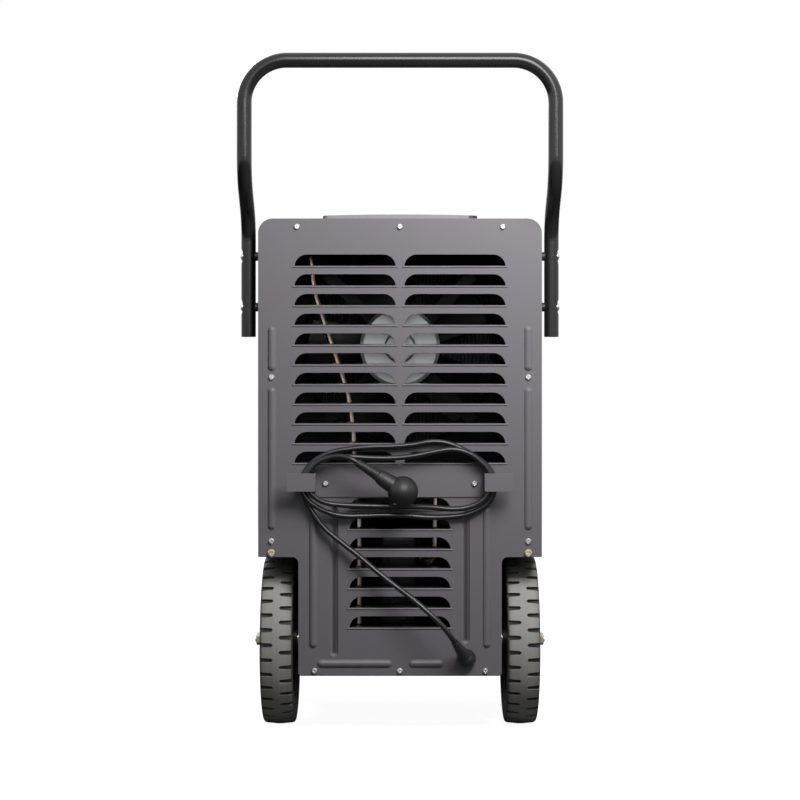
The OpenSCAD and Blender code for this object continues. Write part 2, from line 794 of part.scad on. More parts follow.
module cable_gland() {
    aim = relief_tip - [gland_x, 8, gland_z];
    color([0.05, 0.05, 0.05]) {
        translate([gland_x, back_y, gland_z]) rotate([-90, 0, 0]) {
            translate([0, 0, -12]) cylinder(r = gland_r - 0.2, h = 13, $fn = 48);
            cylinder(r = 14, h = 7, $fn = 48);
            translate([0, 0, 8]) sphere(11.5, $fn = 48);
        }
        translate([gland_x, back_y + 8, gland_z])
            rotate([0, acos(aim[2] / norm(aim)), atan2(aim[1], aim[0])])
                cylinder(r1 = 10.5, r2 = cord_d / 2 + 1, h = norm(aim), $fn = 48);
    }
}

// The cord's route: the diagonal, two turns round the hooks, and the strand to the plug
cord_route = [
    [-80.3, 32.2, 145.3], [-77.8, 35.4, 149.1], [-70.5, 40.3, 160], [-56.5, 42, 176],
    [-40, 39, 191], [-20, 33, 207.5], [2, 26, 223.5], [30, 19, 244.5], [62, 14, 271],
    [92, 11, 294], [114, 9, 313],
    [127, 8, 330], [137, 7, 347], [143.5, 6.5, 363], [145, 6.5, 380], [140.5, 6.5, 397],
    [130, 6.5, 410], [115, 6.5, 419.5], [97, 6.5, 426], [75, 6.5, 429.5], [44, 6.5, 432.5],
    [10, 6.5, 433.5], [-20, 6.5, 436], [-48, 6.5, 440.5], [-70, 6.5, 438.5], [-90, 6.5, 431],
    [-109, 6.5, 420.5], [-125, 6.5, 409], [-136.5, 6.5, 396], [-141.5, 6.5, 380],
    [-139.5, 6.5, 363], [-131, 6.5, 349], [-117, 6.5, 339], [-99, 6.5, 332], [-75, 6.5, 328.5],
    [-45, 6.5, 327.5], [-10, 6.5, 330], [25, 6.5, 330.5], [60, 7.5, 329.5], [84, 9.5, 330],
    [105, 12, 334.5], [124, 14.3, 343.5], [138, 14.8, 355], [145.5, 14.8, 370],
    [144.5, 14.8, 386], [137, 14.8, 400], [124, 14.8, 410.5], [106, 14.8, 416.5],
    [80, 14.8, 418.5], [44, 14.8, 416.5], [8, 14.8, 416.5], [-24, 14.8, 420], [-54, 14.8, 426],
    [-80, 14.8, 429], [-103, 14.8, 423], [-119, 14.8, 412], [-130.5, 14.8, 399],
    [-135.5, 14.8, 382], [-133, 14.8, 366], [-122.5, 14.8, 353], [-106, 14.8, 344.5],
    [-82, 14.8, 340.5], [-50, 12.5, 342.5], [-15, 8.5, 343.5], [20, 8.5, 344],
    [55, 12, 345], [86, 17, 346.5], [108, 20, 349.5], [125, 22.3, 357.5],
    [135.5, 23, 370], [138, 23, 385], [133, 23.2, 400], [121.5, 24, 411],
    [107, 26, 417], [92.5, 30, 419.5], [80, 35, 418.5], [69.4, 37.8, 414.5], [64.3, 38, 411.3]];

module mains_cord() {
    color([0.05, 0.05, 0.05]) tube_along(behind(cord_route), cord_d / 2, 10);
}

// Angle of the plug's body above the horizontal, and how far its pins tip to the panel
plug_angle = 32;
plug_roll = 64;
plug_at = [-4.5, 38, 368.3];
plug_reach = 80.8;
plug_face = 13;
plug_r = 20.5;
pin_r = 2.4;
pin_l = 19;
pin_pitch = 19;

module on_plug() {
    translate([plug_at[0], back_y + plug_at[1], plug_at[2]])
        rotate([0, -plug_angle, 0]) rotate([-plug_roll, 0, 0]) children();
}

module mains_plug() {
    color([0.05, 0.05, 0.05]) on_plug() difference() {
        union() {
            sphere(plug_r + 2, $fn = 64);
            translate([0, 0, -plug_face]) cylinder(r = plug_r, h = plug_face, $fn = 64);
            rotate([0, 90, 0]) cylinder(r1 = 16, r2 = 10, h = 44, $fn = 48);
            translate([43, 0, 0]) rotate([0, 90, 0])
                cylinder(r1 = 9, r2 = cord_d / 2 + 1, h = plug_reach - 43, $fn = 48);
        }
        translate([-30, -30, -plug_face - 12]) cube([60, 60, 12]);
        for (x = [-1, 1]) translate([x * pin_pitch / 2, 0, -plug_face - 1])
            cylinder(r = pin_r + 0.05, h = 8.2, $fn = 32);
        for (y = [-1, 1]) translate([-3.5, y * (plug_r - 1.5) - 2, -plug_face - 1])
            cube([7, 4, 9]);
    }
}

module plug_pins() {
    color([0.85, 0.85, 0.83]) on_plug() for (x = [-1, 1])
        translate([x * pin_pitch / 2, 0, -plug_face - pin_l]) {
            translate([0, 0, 1.5]) cylinder(r = pin_r, h = pin_l + 5.5, $fn = 32);
            cylinder(r1 = pin_r - 1.2, r2 = pin_r, h = 1.5, $fn = 32);
        }
}

// ---- Wheels and axles ----

wheel_x = narrow_x + wheel_gap + tyre_w / 2;
hub_l = tyre_w + 4;
rim_r = tyre_r - tyre_t;
pin_r_axle = axle_pin_d / 2;
washer_t = 2.5;
nut_t = 9;
nut_r = 9.8;
stud_r = 5;
axle_plate_z0 = clearance_h + fold_h + 2;

module axle() {
    plate_x = narrow_pan_x - 4;
    hub_end = wheel_x + hub_l / 2;
    translate([0, axle_y, axle_z]) rotate([0, 90, 0]) {
        translate([0, 0, plate_x]) cylinder(r = pin_r_axle, h = hub_end + seat - plate_x, $fn = 64);
        translate([0, 0, narrow_x])
            cylinder(r = pin_r_axle + 5, h = wheel_x - hub_l / 2 - seat - narrow_x, $fn = 48);
        translate([0, 0, hub_end]) cylinder(r = stud_r, h = washer_t + nut_t + 2, $fn = 48);
    }
    translate([plate_x, axle_y - 45, axle_plate_z0]) difference() {
        cube([4, 90, 78]);
        for (y = [12, 78], z = [10, 68]) translate([-1, y, z]) rotate([0, 90, 0])
            cylinder(d = 8.4, h = 6, $fn = 24);
    }
}

module axle_left() {
    color([0.60, 0.60, 0.60]) axle();
}

module axle_right() {
    color([0.60, 0.60, 0.60]) mirror([1, 0, 0]) axle();
}

// Washers and nuts on the axle pins' ends
module hub_nuts() {
    color([0.78, 0.76, 0.66]) both_sides()
        translate([wheel_x + hub_l / 2 + seat, axle_y, axle_z]) rotate([0, 90, 0]) difference() {
            union() {
                cylinder(r = 13, h = washer_t, $fn = 48);
                translate([0, 0, washer_t]) cylinder(r = nut_r, h = nut_t, $fn = 6);
            }
            translate([0, 0, -1]) cylinder(r = stud_r + 0.05, h = 20, $fn = 48);
        }
}

tyre_crown = 1.5;
tyre_shoulder = 5;

module tyre_profile() {
    half = tyre_w / 2;
    shoulder = [for (a = [0:22.5:90])
        [tyre_r - tyre_crown - tyre_shoulder + tyre_shoulder * sin(a),
         half - tyre_shoulder + tyre_shoulder * cos(a)]];
    upper = concat([[rim_r, half - 4], [rim_r + 5, half]], shoulder, [[tyre_r, tread_rib / 2]]);
    lower = [for (i = [len(upper) - 1:-1:0]) [upper[i][0], -upper[i][1]]];
    polygon(concat(upper, lower));
}

// One notch of the tread, cut in from the +X shoulder at the wheel's bottom
module tread_notch() {
    half = tyre_w / 2;
    translate([0, 0, -tyre_r - 1]) linear_extrude(notch_t + 1)
        polygon([[tread_rib / 2 + 0.6, 0], [tread_rib / 2 + 3, -notch_w * 0.36],
                 [half + 1, -notch_w / 2], [half + 1, notch_w / 2],
                 [tread_rib / 2 + 3, notch_w * 0.36]]);
}

module tyre() {
    translate([wheel_x, axle_y, axle_z]) difference() {
        rotate([0, 90, 0]) rotate_extrude($fn = 180) tyre_profile();
        for (i = [0:tread_n - 1]) {
            rotate([tread_turn + i * 360 / tread_n, 0, 0]) tread_notch();
            rotate([tread_turn + (i + 0.5) * 360 / tread_n, 0, 0]) mirror([1, 0, 0])
                tread_notch();
        }
    }
}

module tyre_left() {
    color([0.19, 0.19, 0.19]) tyre();
}

module tyre_right() {
    color([0.19, 0.19, 0.19]) mirror([1, 0, 0]) tyre();
}

module wheel() {
    rim_w = tyre_w - 8;
    hole_n = 6;
    translate([wheel_x, axle_y, axle_z]) rotate([0, 90, 0]) difference() {
        rotate_extrude($fn = 128) {
            span(pin_r_axle + axle_fit, -hub_l / 2, pin_r_axle + 14, hub_l / 2);
            span(pin_r_axle + 13, -3, rim_r - 5, 3);
            span(rim_r - 6, -rim_w / 2, rim_r, rim_w / 2);
        }
        for (i = [0:hole_n - 1]) rotate([0, 0, i * 360 / hole_n])
            translate([(pin_r_axle + 14 + rim_r - 6) / 2, 0, -5]) cylinder(r = 17, h = 10, $fn = 48);
    }
}

module wheel_left() {
    color([0.12, 0.12, 0.12]) wheel();
}

module wheel_right() {
    color([0.12, 0.12, 0.12]) mirror([1, 0, 0]) wheel();
}

// ---- Front legs and feet ----

foot_x = side_x - foot_inset;
foot_y = front_y + foot_back;
leg_wall = 2;
foot_wall = 2.5;
foot_floor = 5;

module at_feet() {
    both_sides() translate([foot_x, foot_y, 0]) children();
}

module front_legs() {
    color([0.12, 0.12, 0.12]) at_feet() {
        translate([0, 0, foot_floor]) linear_extrude(clearance_h - foot_floor) difference() {
            rounded(leg_w, leg_l, 4);
            rounded(leg_w - 2 * leg_wall, leg_l - 2 * leg_wall, 2);
        }
        translate([0, 0, clearance_h - 3]) linear_extrude(3) rounded(leg_w + 4, leg_l + 30, 4);
    }
}

module front_feet() {
    color([0.05, 0.05, 0.05]) at_feet() difference() {
        linear_extrude(foot_h) rounded(leg_w + 2 * foot_wall, leg_l + 2 * foot_wall, 5);
        translate([0, 0, foot_floor]) linear_extrude(foot_h) rounded(leg_w, leg_l, 4);
    }
}

// ---- Control panel on the casing's top ----

console_wall = 2.5;
console_side_r = 8;
crown_half = console_w / 2 + 4;
crown_r = (crown_half * crown_half + console_crown * console_crown) / (2 * console_crown);
button_n = 5;
button_y = console_y + 28;
button_flange = 1.5;
button_proud = 2;
switch_h = 3;
board_t = 1.6;
board_w = 190;
board_l = 84;
lens_w = 96;
lens_l = 34;
lens_y = console_y - 26;

// Height of the crowned top at x from the middle
function crown_z(x) = casing_top + console_h + console_crown - x * x / (2 * crown_r);
function button_x(i) = (i - (button_n + 1) / 2) * button_pitch;
function flange_top(x) = crown_z(abs(x) + button_d / 2 + 1.5) - console_wall - 0.05;
lowest_flange = flange_top(button_x(button_n)) - button_flange;
board_z = lowest_flange - button_travel - seat - switch_h - board_t;

module console_form(t) {
    intersection() {
        upright(console_y + console_l / 2 + 4, console_l + 8) intersection() {
            translate([0, casing_top]) span(-crown_half, 0, crown_half, console_h + console_crown);
            translate([0, casing_top + console_h + console_crown - crown_r])
                circle(crown_r - t, $fn = 1440);
        }
        translate([0, console_y, casing_top]) linear_extrude(40)
            rounded(console_w - 2 * t, console_l - 2 * t, console_side_r - t);
    }
}

module control_panel() {
    boss_x = board_w / 2 - 7;
    boss_y = board_l / 2 - 7;
    boss_h = crown_z(boss_x) - console_wall + 0.3 - board_z - board_t;
    color([0.10, 0.10, 0.11]) difference() {
        union() {
            difference() {
                console_form(0);
                console_form(console_wall);
            }
            for (x = [-boss_x, boss_x], y = [-boss_y, boss_y])
                translate([x, console_y + y, board_z + board_t])
                    cylinder(r = 3.5, h = boss_h, $fn = 32);
        }
        for (i = [1:button_n]) translate([button_x(i), button_y, casing_top])
            cylinder(d = button_d + 0.5, h = 40, $fn = 48);
        translate([-lens_w / 2, lens_y - lens_l / 2, casing_top]) cube([lens_w, lens_l, 40]);
    }
}

module display_lens() {
    lens_top = crown_z(lens_w / 2 + 3) - console_wall;
    color([0.03, 0.03, 0.04])
        translate([-lens_w / 2 - 3, lens_y - lens_l / 2 - 3, lens_top - 1.5])
            cube([lens_w + 6, lens_l + 6, 1.5]);
}

module control_board() {
    color([0.10, 0.30, 0.16]) {
        translate([-board_w / 2, console_y - board_l / 2, board_z]) cube([board_w, board_l, board_t]);
        for (i = [1:button_n]) translate([button_x(i), button_y, board_z + board_t - 0.05]) {
            translate([-3, -3, 0]) cube([6, 6, switch_h - 1]);
            cylinder(d = 3.4, h = switch_h + 0.05, $fn = 24);
        }
        translate([-40, lens_y - 12, board_z + board_t - 0.05]) cube([80, 24, 2.5]);
    }
}

module button(i) {
    x = button_x(i);
    top = crown_z(x) + button_proud;
    color([0.55, 0.56, 0.57]) translate([x, button_y, flange_top(x) - button_flange]) {
        cylinder(d = button_d + 2.6, h = button_flange, $fn = 48);
        cylinder(d = button_d, h = top - 1 - flange_top(x) + button_flange, $fn = 48);
        translate([0, 0, top - 1 - flange_top(x) + button_flange])
            cylinder(d1 = button_d, d2 = button_d - 2, h = 1, $fn = 48);
        cylinder(d = 5, h = lowest_flange - flange_top(x) + button_flange + 0.01, $fn = 24);
    }
}

module button_1() { button(1); }
module button_2() { button(2); }
module button_3() { button(3); }
module button_4() { button(4); }
module button_5() { button(5); }

// ---- Fan and motor ----

fan_r = fan_d / 2;
hub_r = 42;
shaft_r = 5;
plate_t = 1.5;
shroud_y = back_y - shroud_d;
ring_l = 26;
fan_mid_y = shroud_y + ring_l - 2;
motor_body_r = motor_d / 2 - 6;
motor_l = 72;
motor_front_y = fan_mid_y + 32;
motor_back_y = motor_front_y + motor_l;

module on_fan_axis(y) {
    translate([0, y, fan_z]) rotate([-90, 0, 0]) children();
}

module fan_shroud() {
    color([0.50, 0.51, 0.53]) {
        upright(shroud_y, plate_t) difference() {
            intersection() {
                casing_outline(sheet);
                span(-side_x, deck_z + sheet, side_x, casing_top);
            }
            translate([0, fan_z]) circle(fan_r + fan_gap, $fn = 180);
            for (p = shroud_pipes) translate(p) circle(d = pipe_d + 4, $fn = 32);
        }
        on_fan_axis(shroud_y - plate_t) rotate_extrude($fn = 180) {
            span(fan_r + fan_gap, 0, fan_r + fan_gap + plate_t, ring_l + plate_t);
            difference() {
                span(fan_r + fan_gap, 0, fan_r + fan_gap + 8, 8);
                translate([fan_r + fan_gap + 8 + plate_t, 8 + plate_t]) circle(8, $fn = 48);
                span(fan_r + fan_gap + 8 - 0.01, plate_t, fan_r + fan_gap + 9, 9);
            }
        }
    }
}

// One blade, standing along +X: a cambered strip trimmed to its paddle outline
module fan_blade() {
    camber_r = 110;
    intersection() {
        translate([hub_r - 8, 0, 0]) rotate([blade_angle, 0, 0]) rotate([0, 90, 0])
            linear_extrude(fan_r) translate([-camber_r * 0.96, 0]) difference() {
                circle(camber_r, $fn = 180);
                circle(camber_r - 2, $fn = 180);
                span(-camber_r - 1, -camber_r - 1, camber_r * 0.75, camber_r + 1);
            }
        linear_extrude(120, center = true) polygon([
            [hub_r - 6, -20], [hub_r + 20, -30], [hub_r + 60, -42], [fan_r + 2, -46],
            [fan_r + 2, 46], [hub_r + 60, 42], [hub_r + 20, 30], [hub_r - 6, 20]]);
    }
}

module fan_rotor() {
    color([0.12, 0.12, 0.13]) on_fan_axis(fan_mid_y) difference() {
        union() {
            difference() {
                intersection() {
                    union() {
                        for (i = [0:blade_n - 1]) rotate([0, 0, i * 360 / blade_n]) fan_blade();
                        translate([0, 0, -20]) cylinder(r = hub_r, h = 38, $fn = 96);
                    }
                    cylinder(r = fan_r, h = 200, center = true, $fn = 180);
                }
                translate([0, 0, -16]) cylinder(r = hub_r - 4, h = 60, $fn = 96);
            }
            translate([0, 0, -17]) cylinder(r = 12, h = 35, $fn = 48);
        }
        cylinder(r = shaft_r + 0.05, h = 80, center = true, $fn = 48);
    }
}

module fan_motor() {
    color([0.78, 0.78, 0.78]) {
        on_fan_axis(motor_front_y) rotate_extrude($fn = 128) polygon([
            [0, 0], [motor_body_r - 12, 0], [motor_body_r, 10], [motor_body_r, motor_l - 10],
            [motor_d / 2, motor_l - 9], [motor_d / 2, motor_l - 3], [motor_d / 2 - 5, motor_l],
            [24, motor_l], [21, motor_l + 3], [0, motor_l + 3]]);
        on_fan_axis(fan_mid_y - 26) cylinder(r = shaft_r, h = motor_front_y - fan_mid_y + 27, $fn = 48);
        for (a = [45:90:315]) on_fan_axis(motor_back_y - 1) rotate([0, 0, a])
            translate([motor_d / 2 - 11, 0, 0]) cylinder(d = 7, h = 4, $fn = 6);
    }
}

arm_y = motor_front_y + 26;
arm_reach = fan_r + fan_gap + 12;

module motor_bracket() {
    color([0.16, 0.16, 0.17]) {
        on_fan_axis(arm_y - 8) difference() {
            cylinder(r = motor_body_r + 2.7, h = 16, $fn = 96);
            translate([0, 0, -1]) cylinder(r = motor_body_r + 0.05, h = 18, $fn = 96);
        }
        for (a = [45:90:315]) on_fan_axis(0) rotate([0, 0, a]) {
            translate([motor_body_r + 1.5, -9, arm_y - 1.5]) cube([arm_reach - motor_body_r - 1.5, 18, 3]);
            translate([arm_reach - 3, -9, shroud_y]) cube([3, 18, arm_y + 1.5 - shroud_y]);
            translate([arm_reach - 3, -9, shroud_y]) cube([18, 18, 3]);
        }
    }
}

// ---- Coils ----

fin_t = 1;
core_t = 4;
coil_clear = 16;
tray_rib_z = deck_z + sheet + 12;
condenser_y = shroud_y - coil_clear;
evaporator_y = condenser_y - condenser_t - 12;
bend_pitch = 50;
coil_tube_r = 4.8;

// A fin comb as one outline: teeth forwards and backwards from a core
function comb(depth) =
    let (n = floor((coil_w - fin_t) / fin_pitch), start = -n * fin_pitch / 2,
         front = -depth / 2 - core_t / 2, rear = -depth / 2 + core_t / 2)
    concat(
        [for (i = [0:n], p = [[-1, front], [-1, -depth], [1, -depth], [1, front]])
            [start + i * fin_pitch + p[0] * fin_t / 2, p[1]]],
        [for (i = [n:-1:0], p = [[1, rear], [1, 0], [-1, 0], [-1, rear]])
            [start + i * fin_pitch + p[0] * fin_t / 2, p[1]]]);

module coil(y, depth) {
    translate([0, y, tray_rib_z]) {
        linear_extrude(coil_h) polygon(comb(depth));
        both_sides() difference() {
            translate([coil_w / 2 - fin_t - 2.4, -depth, 0]) cube([fin_t + 3.4, depth, coil_h]);
            translate([coil_w / 2 - fin_t - 3, -depth - 1, 14]) cube([fin_t + 1.2, depth + 2, coil_h - 28]);
        }
    }
}

module condenser() {
    color([0.72, 0.73, 0.74]) coil(condenser_y, condenser_t);
}

module evaporator() {
    color([0.72, 0.73, 0.74]) coil(evaporator_y, evaporator_t);
}

// Hairpin ends of the coils' tubes, on both end plates
module coil_bends() {
    end_x = coil_w / 2 + 1;
    n = floor((coil_h - 30) / bend_pitch);
    coils = [[condenser_y, condenser_t], [evaporator_y, evaporator_t]];
    color([0.72, 0.45, 0.32]) both_sides() for (c = coils, i = [0:n - 1])
        translate([end_x, c[0] - c[1] / 2, tray_rib_z + 30 + i * bend_pitch])
            rotate([90, 0, 0]) rotate([0, 0, -90])
                rotate_extrude(angle = 180, $fn = 64) translate([bend_pitch / 4, 0])
                    circle(coil_tube_r, $fn = 32);
}

tray_wall = 2;
tray_y0 = min(evaporator_y - evaporator_t - 14, drain_y - spigot_r - 4);
tray_y1 = condenser_y + 8;
tray_w = coil_w + 36;
tray_h = 22;

module drip_tray() {
    tray_z = deck_z + sheet;
    pipe_end = tank_top + 12;
    color([0.14, 0.14, 0.15]) difference() {
        union() {
            translate([-tray_w / 2, tray_y0, tray_z]) cube([tray_w, tray_y1 - tray_y0, tray_h]);
            translate([drain_x, drain_y, pipe_end])
                cylinder(r = spigot_r, h = tray_z + 1 - pipe_end, $fn = 48);
        }
        difference() {
            translate([-tray_w / 2 + tray_wall, tray_y0 + tray_wall, tray_z + tray_wall])
                cube([tray_w - 2 * tray_wall, tray_y1 - tray_y0 - 2 * tray_wall, tray_h]);
            for (x = [-coil_w / 2 + 20, 0, coil_w / 2 - 20]) translate([x - 3, tray_y0, tray_z])
                cube([6, tray_y1 - tray_y0, tray_rib_z - tray_z]);
        }
        translate([drain_x, drain_y, pipe_end - 1])
            cylinder(r = spigot_r - spigot_wall, h = tray_z + tray_h - pipe_end, $fn = 48);
    }
}

// ---- Compressor, pipes and electrics ----

can_x = 3;
can_y = back_y - can_axis_d;
can_z = base_top + 14;
can_r = can_d / 2;
can_wall = 4;
flange_z = 60;
foot_reach = 92;
foot_plate_t = 4;
grommet_r = 4.8;
foot_angles = [90, 210, 330];
can_feet = [for (a = foot_angles) [can_x + foot_reach * cos(a), can_y - foot_reach * sin(a)]];
stub_l = 8;
suction_at = 54;
suction_z = 34;
discharge_at = 124;
discharge_z = 150;

module compressor() {
    dome = 42;
    color([0.07, 0.07, 0.075]) translate([can_x, can_y, can_z]) {
        linear_extrude(foot_plate_t) difference() {
            union() {
                circle(can_r - 8, $fn = 96);
                for (a = foot_angles) rotate([0, 0, -a]) {
                    translate([0, -16]) square([foot_reach, 32]);
                    translate([foot_reach, 0]) circle(16, $fn = 48);
                }
            }
            for (a = foot_angles) rotate([0, 0, -a]) translate([foot_reach, 0])
                circle(grommet_r + seat, $fn = 32);
        }
        difference() {
            rotate_extrude($fn = 128) {
                span(0, 3, can_r - 10, 18);
                span(0, 14, can_r, can_h - dome);
                span(0, flange_z, can_r + 3, flange_z + 5);
                polygon(concat([[0, can_h - dome - 1]], [for (a = [0:6:90])
                    [can_r * cos(a), can_h - dome + dome * sin(a)]]));
            }
            translate([0, 0, 52]) cylinder(r = can_r - can_wall, h = can_h - dome - 52, $fn = 128);
        }
        rotate([0, 0, suction_at]) translate([can_r - 2, 0, suction_z]) rotate([0, 90, 0])
            cylinder(r = pipe_d / 2 + 1.5, h = stub_l + 2, $fn = 32);
        rotate([0, 0, discharge_at]) translate([can_r - 2, 0, discharge_z]) rotate([0, 90, 0])
            cylinder(r = pipe_d / 2 + 1.5, h = stub_l + 2, $fn = 32);
        translate([can_r - 6, -24, 96]) cube([26, 48, 52]);
    }
}

module compressor_feet() {
    color([0.05, 0.05, 0.05]) for (p = can_feet) translate([p[0], p[1], base_top]) difference() {
        union() {
            cylinder(r = 13, h = can_z - base_top, $fn = 48);
            translate([0, 0, can_z - base_top - 0.01])
                cylinder(r = grommet_r, h = foot_plate_t + 1, $fn = 32);
        }
        translate([0, 0, -1]) cylinder(r = 3.2, h = 30, $fn = 24);
    }
}

module compressor_bolts() {
    color([0.70, 0.70, 0.68]) for (p = can_feet) translate([p[0], p[1], 0]) {
        translate([0, 0, clearance_h - 4]) cylinder(r = 5.8, h = 4, $fn = 6);
        translate([0, 0, clearance_h - 0.1]) cylinder(r = 3, h = can_z + 12 - clearance_h, $fn = 24);
        translate([0, 0, can_z + foot_plate_t + 1.2]) cylinder(r = 7, h = 1.5, $fn = 32);
        translate([0, 0, can_z + foot_plate_t + 2.6]) cylinder(r = 5.8, h = 5, $fn = 6);
    }
}

coil_exit_z = tray_rib_z + coil_h - 14;
coil_exit_x = coil_w / 2 + 1;
pipe_side_x = coil_exit_x + 19;
shroud_pipes = [[pipe_side_x, coil_exit_z], [-pipe_side_x, coil_exit_z]];
deck_pipes = [[69, -57], [-55, -50]];

// The point at a distance from the can's wall, in line with a stub
function off_can(a, z, gap) =
    [can_x + (can_r + stub_l + gap) * cos(a), can_y + (can_r + stub_l + gap) * sin(a), can_z + z];

// Suction line: from the evaporator's top, behind the fan and down to the compressor
suction_route = concat(
    [[coil_exit_x, evaporator_y - evaporator_t / 2, coil_exit_z],
     [coil_exit_x + 9, evaporator_y - evaporator_t / 2, coil_exit_z],
     [pipe_side_x - 3, evaporator_y - evaporator_t / 2 + 3, coil_exit_z],
     [pipe_side_x, evaporator_y - evaporator_t / 2 + 12, coil_exit_z],
     [pipe_side_x, shroud_y - 10, coil_exit_z],
     [pipe_side_x, shroud_y + 10, coil_exit_z]],
    behind([[189, -146, 712], [179, -118, 729], [163, -90, 740], [148, -70, 740],
            [138, -61, 728], [135, -60, 708], [134, -60, 688], [129, -60, 660],
            [119, -60, 629], [109, -60, 600], [99, -60, 570], [89, -60, 540], [80, -60, 510],
            [75, -60, 480], [72, -60, 450], [71, -60, 418], [70, -58, 395], [69, -57, 372],
            [66, -53, 350], [63, -49, 330], [63, -48, 300], [63, -48, 200], [63, -48, 162]]),
    [off_can(suction_at, suction_z + 9, 18), off_can(suction_at, suction_z + 1.5, 9),
     off_can(suction_at, suction_z, 0.5)]);

// Discharge line: from the compressor up to the condenser's top
discharge_route = concat(
    [off_can(discharge_at, discharge_z, 0.5), off_can(discharge_at, discharge_z + 1.5, 9),
     off_can(discharge_at, discharge_z + 10, 17)],
    behind([[-54, -48, 285], [-54, -48, 330], [-55, -50, 372], [-58, -51, 385],
            [-68, -53, 393], [-85, -55, 395], [-150, -60, 395], [-176, -64, 397],
            [-188, -72, 406], [-190, -82, 424], [-190, -84, 450], [-190, -84, 650]]),
    [[-pipe_side_x, back_y - 86, coil_exit_z - 22], [-pipe_side_x, back_y - 94, coil_exit_z - 6],
     [-pipe_side_x, back_y - 110, coil_exit_z], [-pipe_side_x, shroud_y - 10, coil_exit_z],
     [-pipe_side_x, condenser_y - condenser_t / 2 + 12, coil_exit_z],
     [-pipe_side_x + 3, condenser_y - condenser_t / 2 + 3, coil_exit_z],
     [-coil_exit_x - 9, condenser_y - condenser_t / 2, coil_exit_z],
     [-coil_exit_x, condenser_y - condenser_t / 2, coil_exit_z]]);

module refrigerant_pipes() {
    color([0.72, 0.45, 0.32]) {
        tube_along(suction_route, pipe_d / 2, 10);
        tube_along(discharge_route, pipe_d / 2, 10);
    }
}

module electrical_box() {
    box = [62, 90, 140];
    at = [-narrow_pan_x, back_y - 30 - box[1], axle_plate_z0 + 90];
    color([0.62, 0.63, 0.64]) difference() {
        translate(at) cube(box);
        translate(at + [-1, 1.5, 1.5]) cube(box - [0.5, 3, 3]);
    }
}

module run_capacitor() {
    cap_r = 20;
    at = [narrow_pan_x - cap_r - 2, back_y - 190, axle_plate_z0 + 90];
    color([0.75, 0.75, 0.76]) {
        translate(at) cylinder(r = cap_r, h = 84, $fn = 64);
        translate(at + [0, -9, 30]) cube([cap_r + 2, 18, 20]);
        translate(at + [0, 0, 83]) cylinder(r = cap_r - 6, h = 9, $fn = 48);
    }
}

// ---- Water tank ----

tank_front_y = front_y + 15;
tank_rear_y = bulkhead_y - sheet - 11;
tank_d = tank_rear_y - tank_front_y;
tank_y = (tank_front_y + tank_rear_y) / 2;
tank_r = 12;
lid_t = 3;
float_x = -60;
float_pivot = [float_x, tank_rear_y - tank_wall - 12, tank_top - 48];
float_w = 46;
ear_t = 4;
float_pin_r = 2;

module water_tank() {
    color([0.80, 0.82, 0.84]) {
        difference() {
            translate([0, tank_y, tank_z]) linear_extrude(tank_h) rounded(tank_w, tank_d, tank_r);
            translate([0, tank_y, tank_z + tank_wall]) linear_extrude(tank_h)
                rounded(tank_w - 2 * tank_wall, tank_d - 2 * tank_wall, tank_r - tank_wall);
        }
        for (x = [float_x - float_w / 2 - ear_t - 1, float_x + float_w / 2 + 1]) difference() {
            translate([x, float_pivot[1] - 6, float_pivot[2] - 6])
                cube([ear_t, 18.5, 12]);
            translate([x - 1, float_pivot[1], float_pivot[2]]) rotate([0, 90, 0])
                cylinder(r = float_pin_r + 0.08, h = ear_t + 2, $fn = 32);
        }
    }
}

module tank_lid() {
    color([0.25, 0.26, 0.27]) difference() {
        union() {
            translate([0, tank_y, tank_top]) linear_extrude(lid_t) rounded(tank_w, tank_d, tank_r);
            translate([0, tank_y, tank_top - 6]) linear_extrude(6.1)
                rounded(tank_w - 2 * tank_wall - 0.6, tank_d - 2 * tank_wall - 0.6, tank_r - tank_wall);
        }
        translate([0, tank_y, tank_top - 7]) linear_extrude(7)
            rounded(tank_w - 4 * tank_wall - 3, tank_d - 4 * tank_wall - 3, tank_r - tank_wall - 2);
        translate([drain_x, drain_y, tank_top - 1]) cylinder(r = spigot_r + 14, h = lid_t + 2, $fn = 64);
    }
}

module tank_front() {
    z0 = clearance_h + cover_wall + 0.2 + tank_gap;
    z1 = tank_open_top - tank_gap;
    w = tank_open_w - 2 * tank_gap;
    wall = 3;
    grip = [130, 34];
    color([0.13, 0.13, 0.14]) difference() {
        union() {
            upright(tank_front_y, tank_front_y - front_y) difference() {
                span(-w / 2, z0, w / 2, z1);
                span(-w / 2 + wall, z0 + wall, w / 2 - wall, z1 - wall);
            }
            upright(front_y + wall, wall) span(-w / 2 + 1, z0 + 1, w / 2 - 1, z1 - 1);
            translate([-grip[0] / 2 - wall, front_y + 1, z1 - 22 - grip[1] - wall])
                cube([grip[0] + 2 * wall, tank_front_y - front_y - 1, grip[1] + 2 * wall]);
        }
        translate([-grip[0] / 2, front_y - 1, z1 - 22 - grip[1]])
            cube([grip[0], tank_front_y - front_y - 1, grip[1]]);
    }
}

module float_arm() {
    color([0.85, 0.85, 0.82]) translate(float_pivot) {
        rotate([0, 90, 0])
            cylinder(r = float_pin_r, h = float_w + 2 * ear_t + 1.6, center = true, $fn = 32);
        for (x = [-float_w / 2 + 4, float_w / 2 - 8]) translate([x, -24, -3]) cube([4, 26, 6]);
        translate([-float_w / 2, -62, -10]) cube([float_w, 40, 18]);
    }
}

module level_switch() {
    color([0.06, 0.06, 0.06]) translate([float_x - 17, bulkhead_y, float_pivot[2] - 10])
        cube([34, 14, 24]);
}

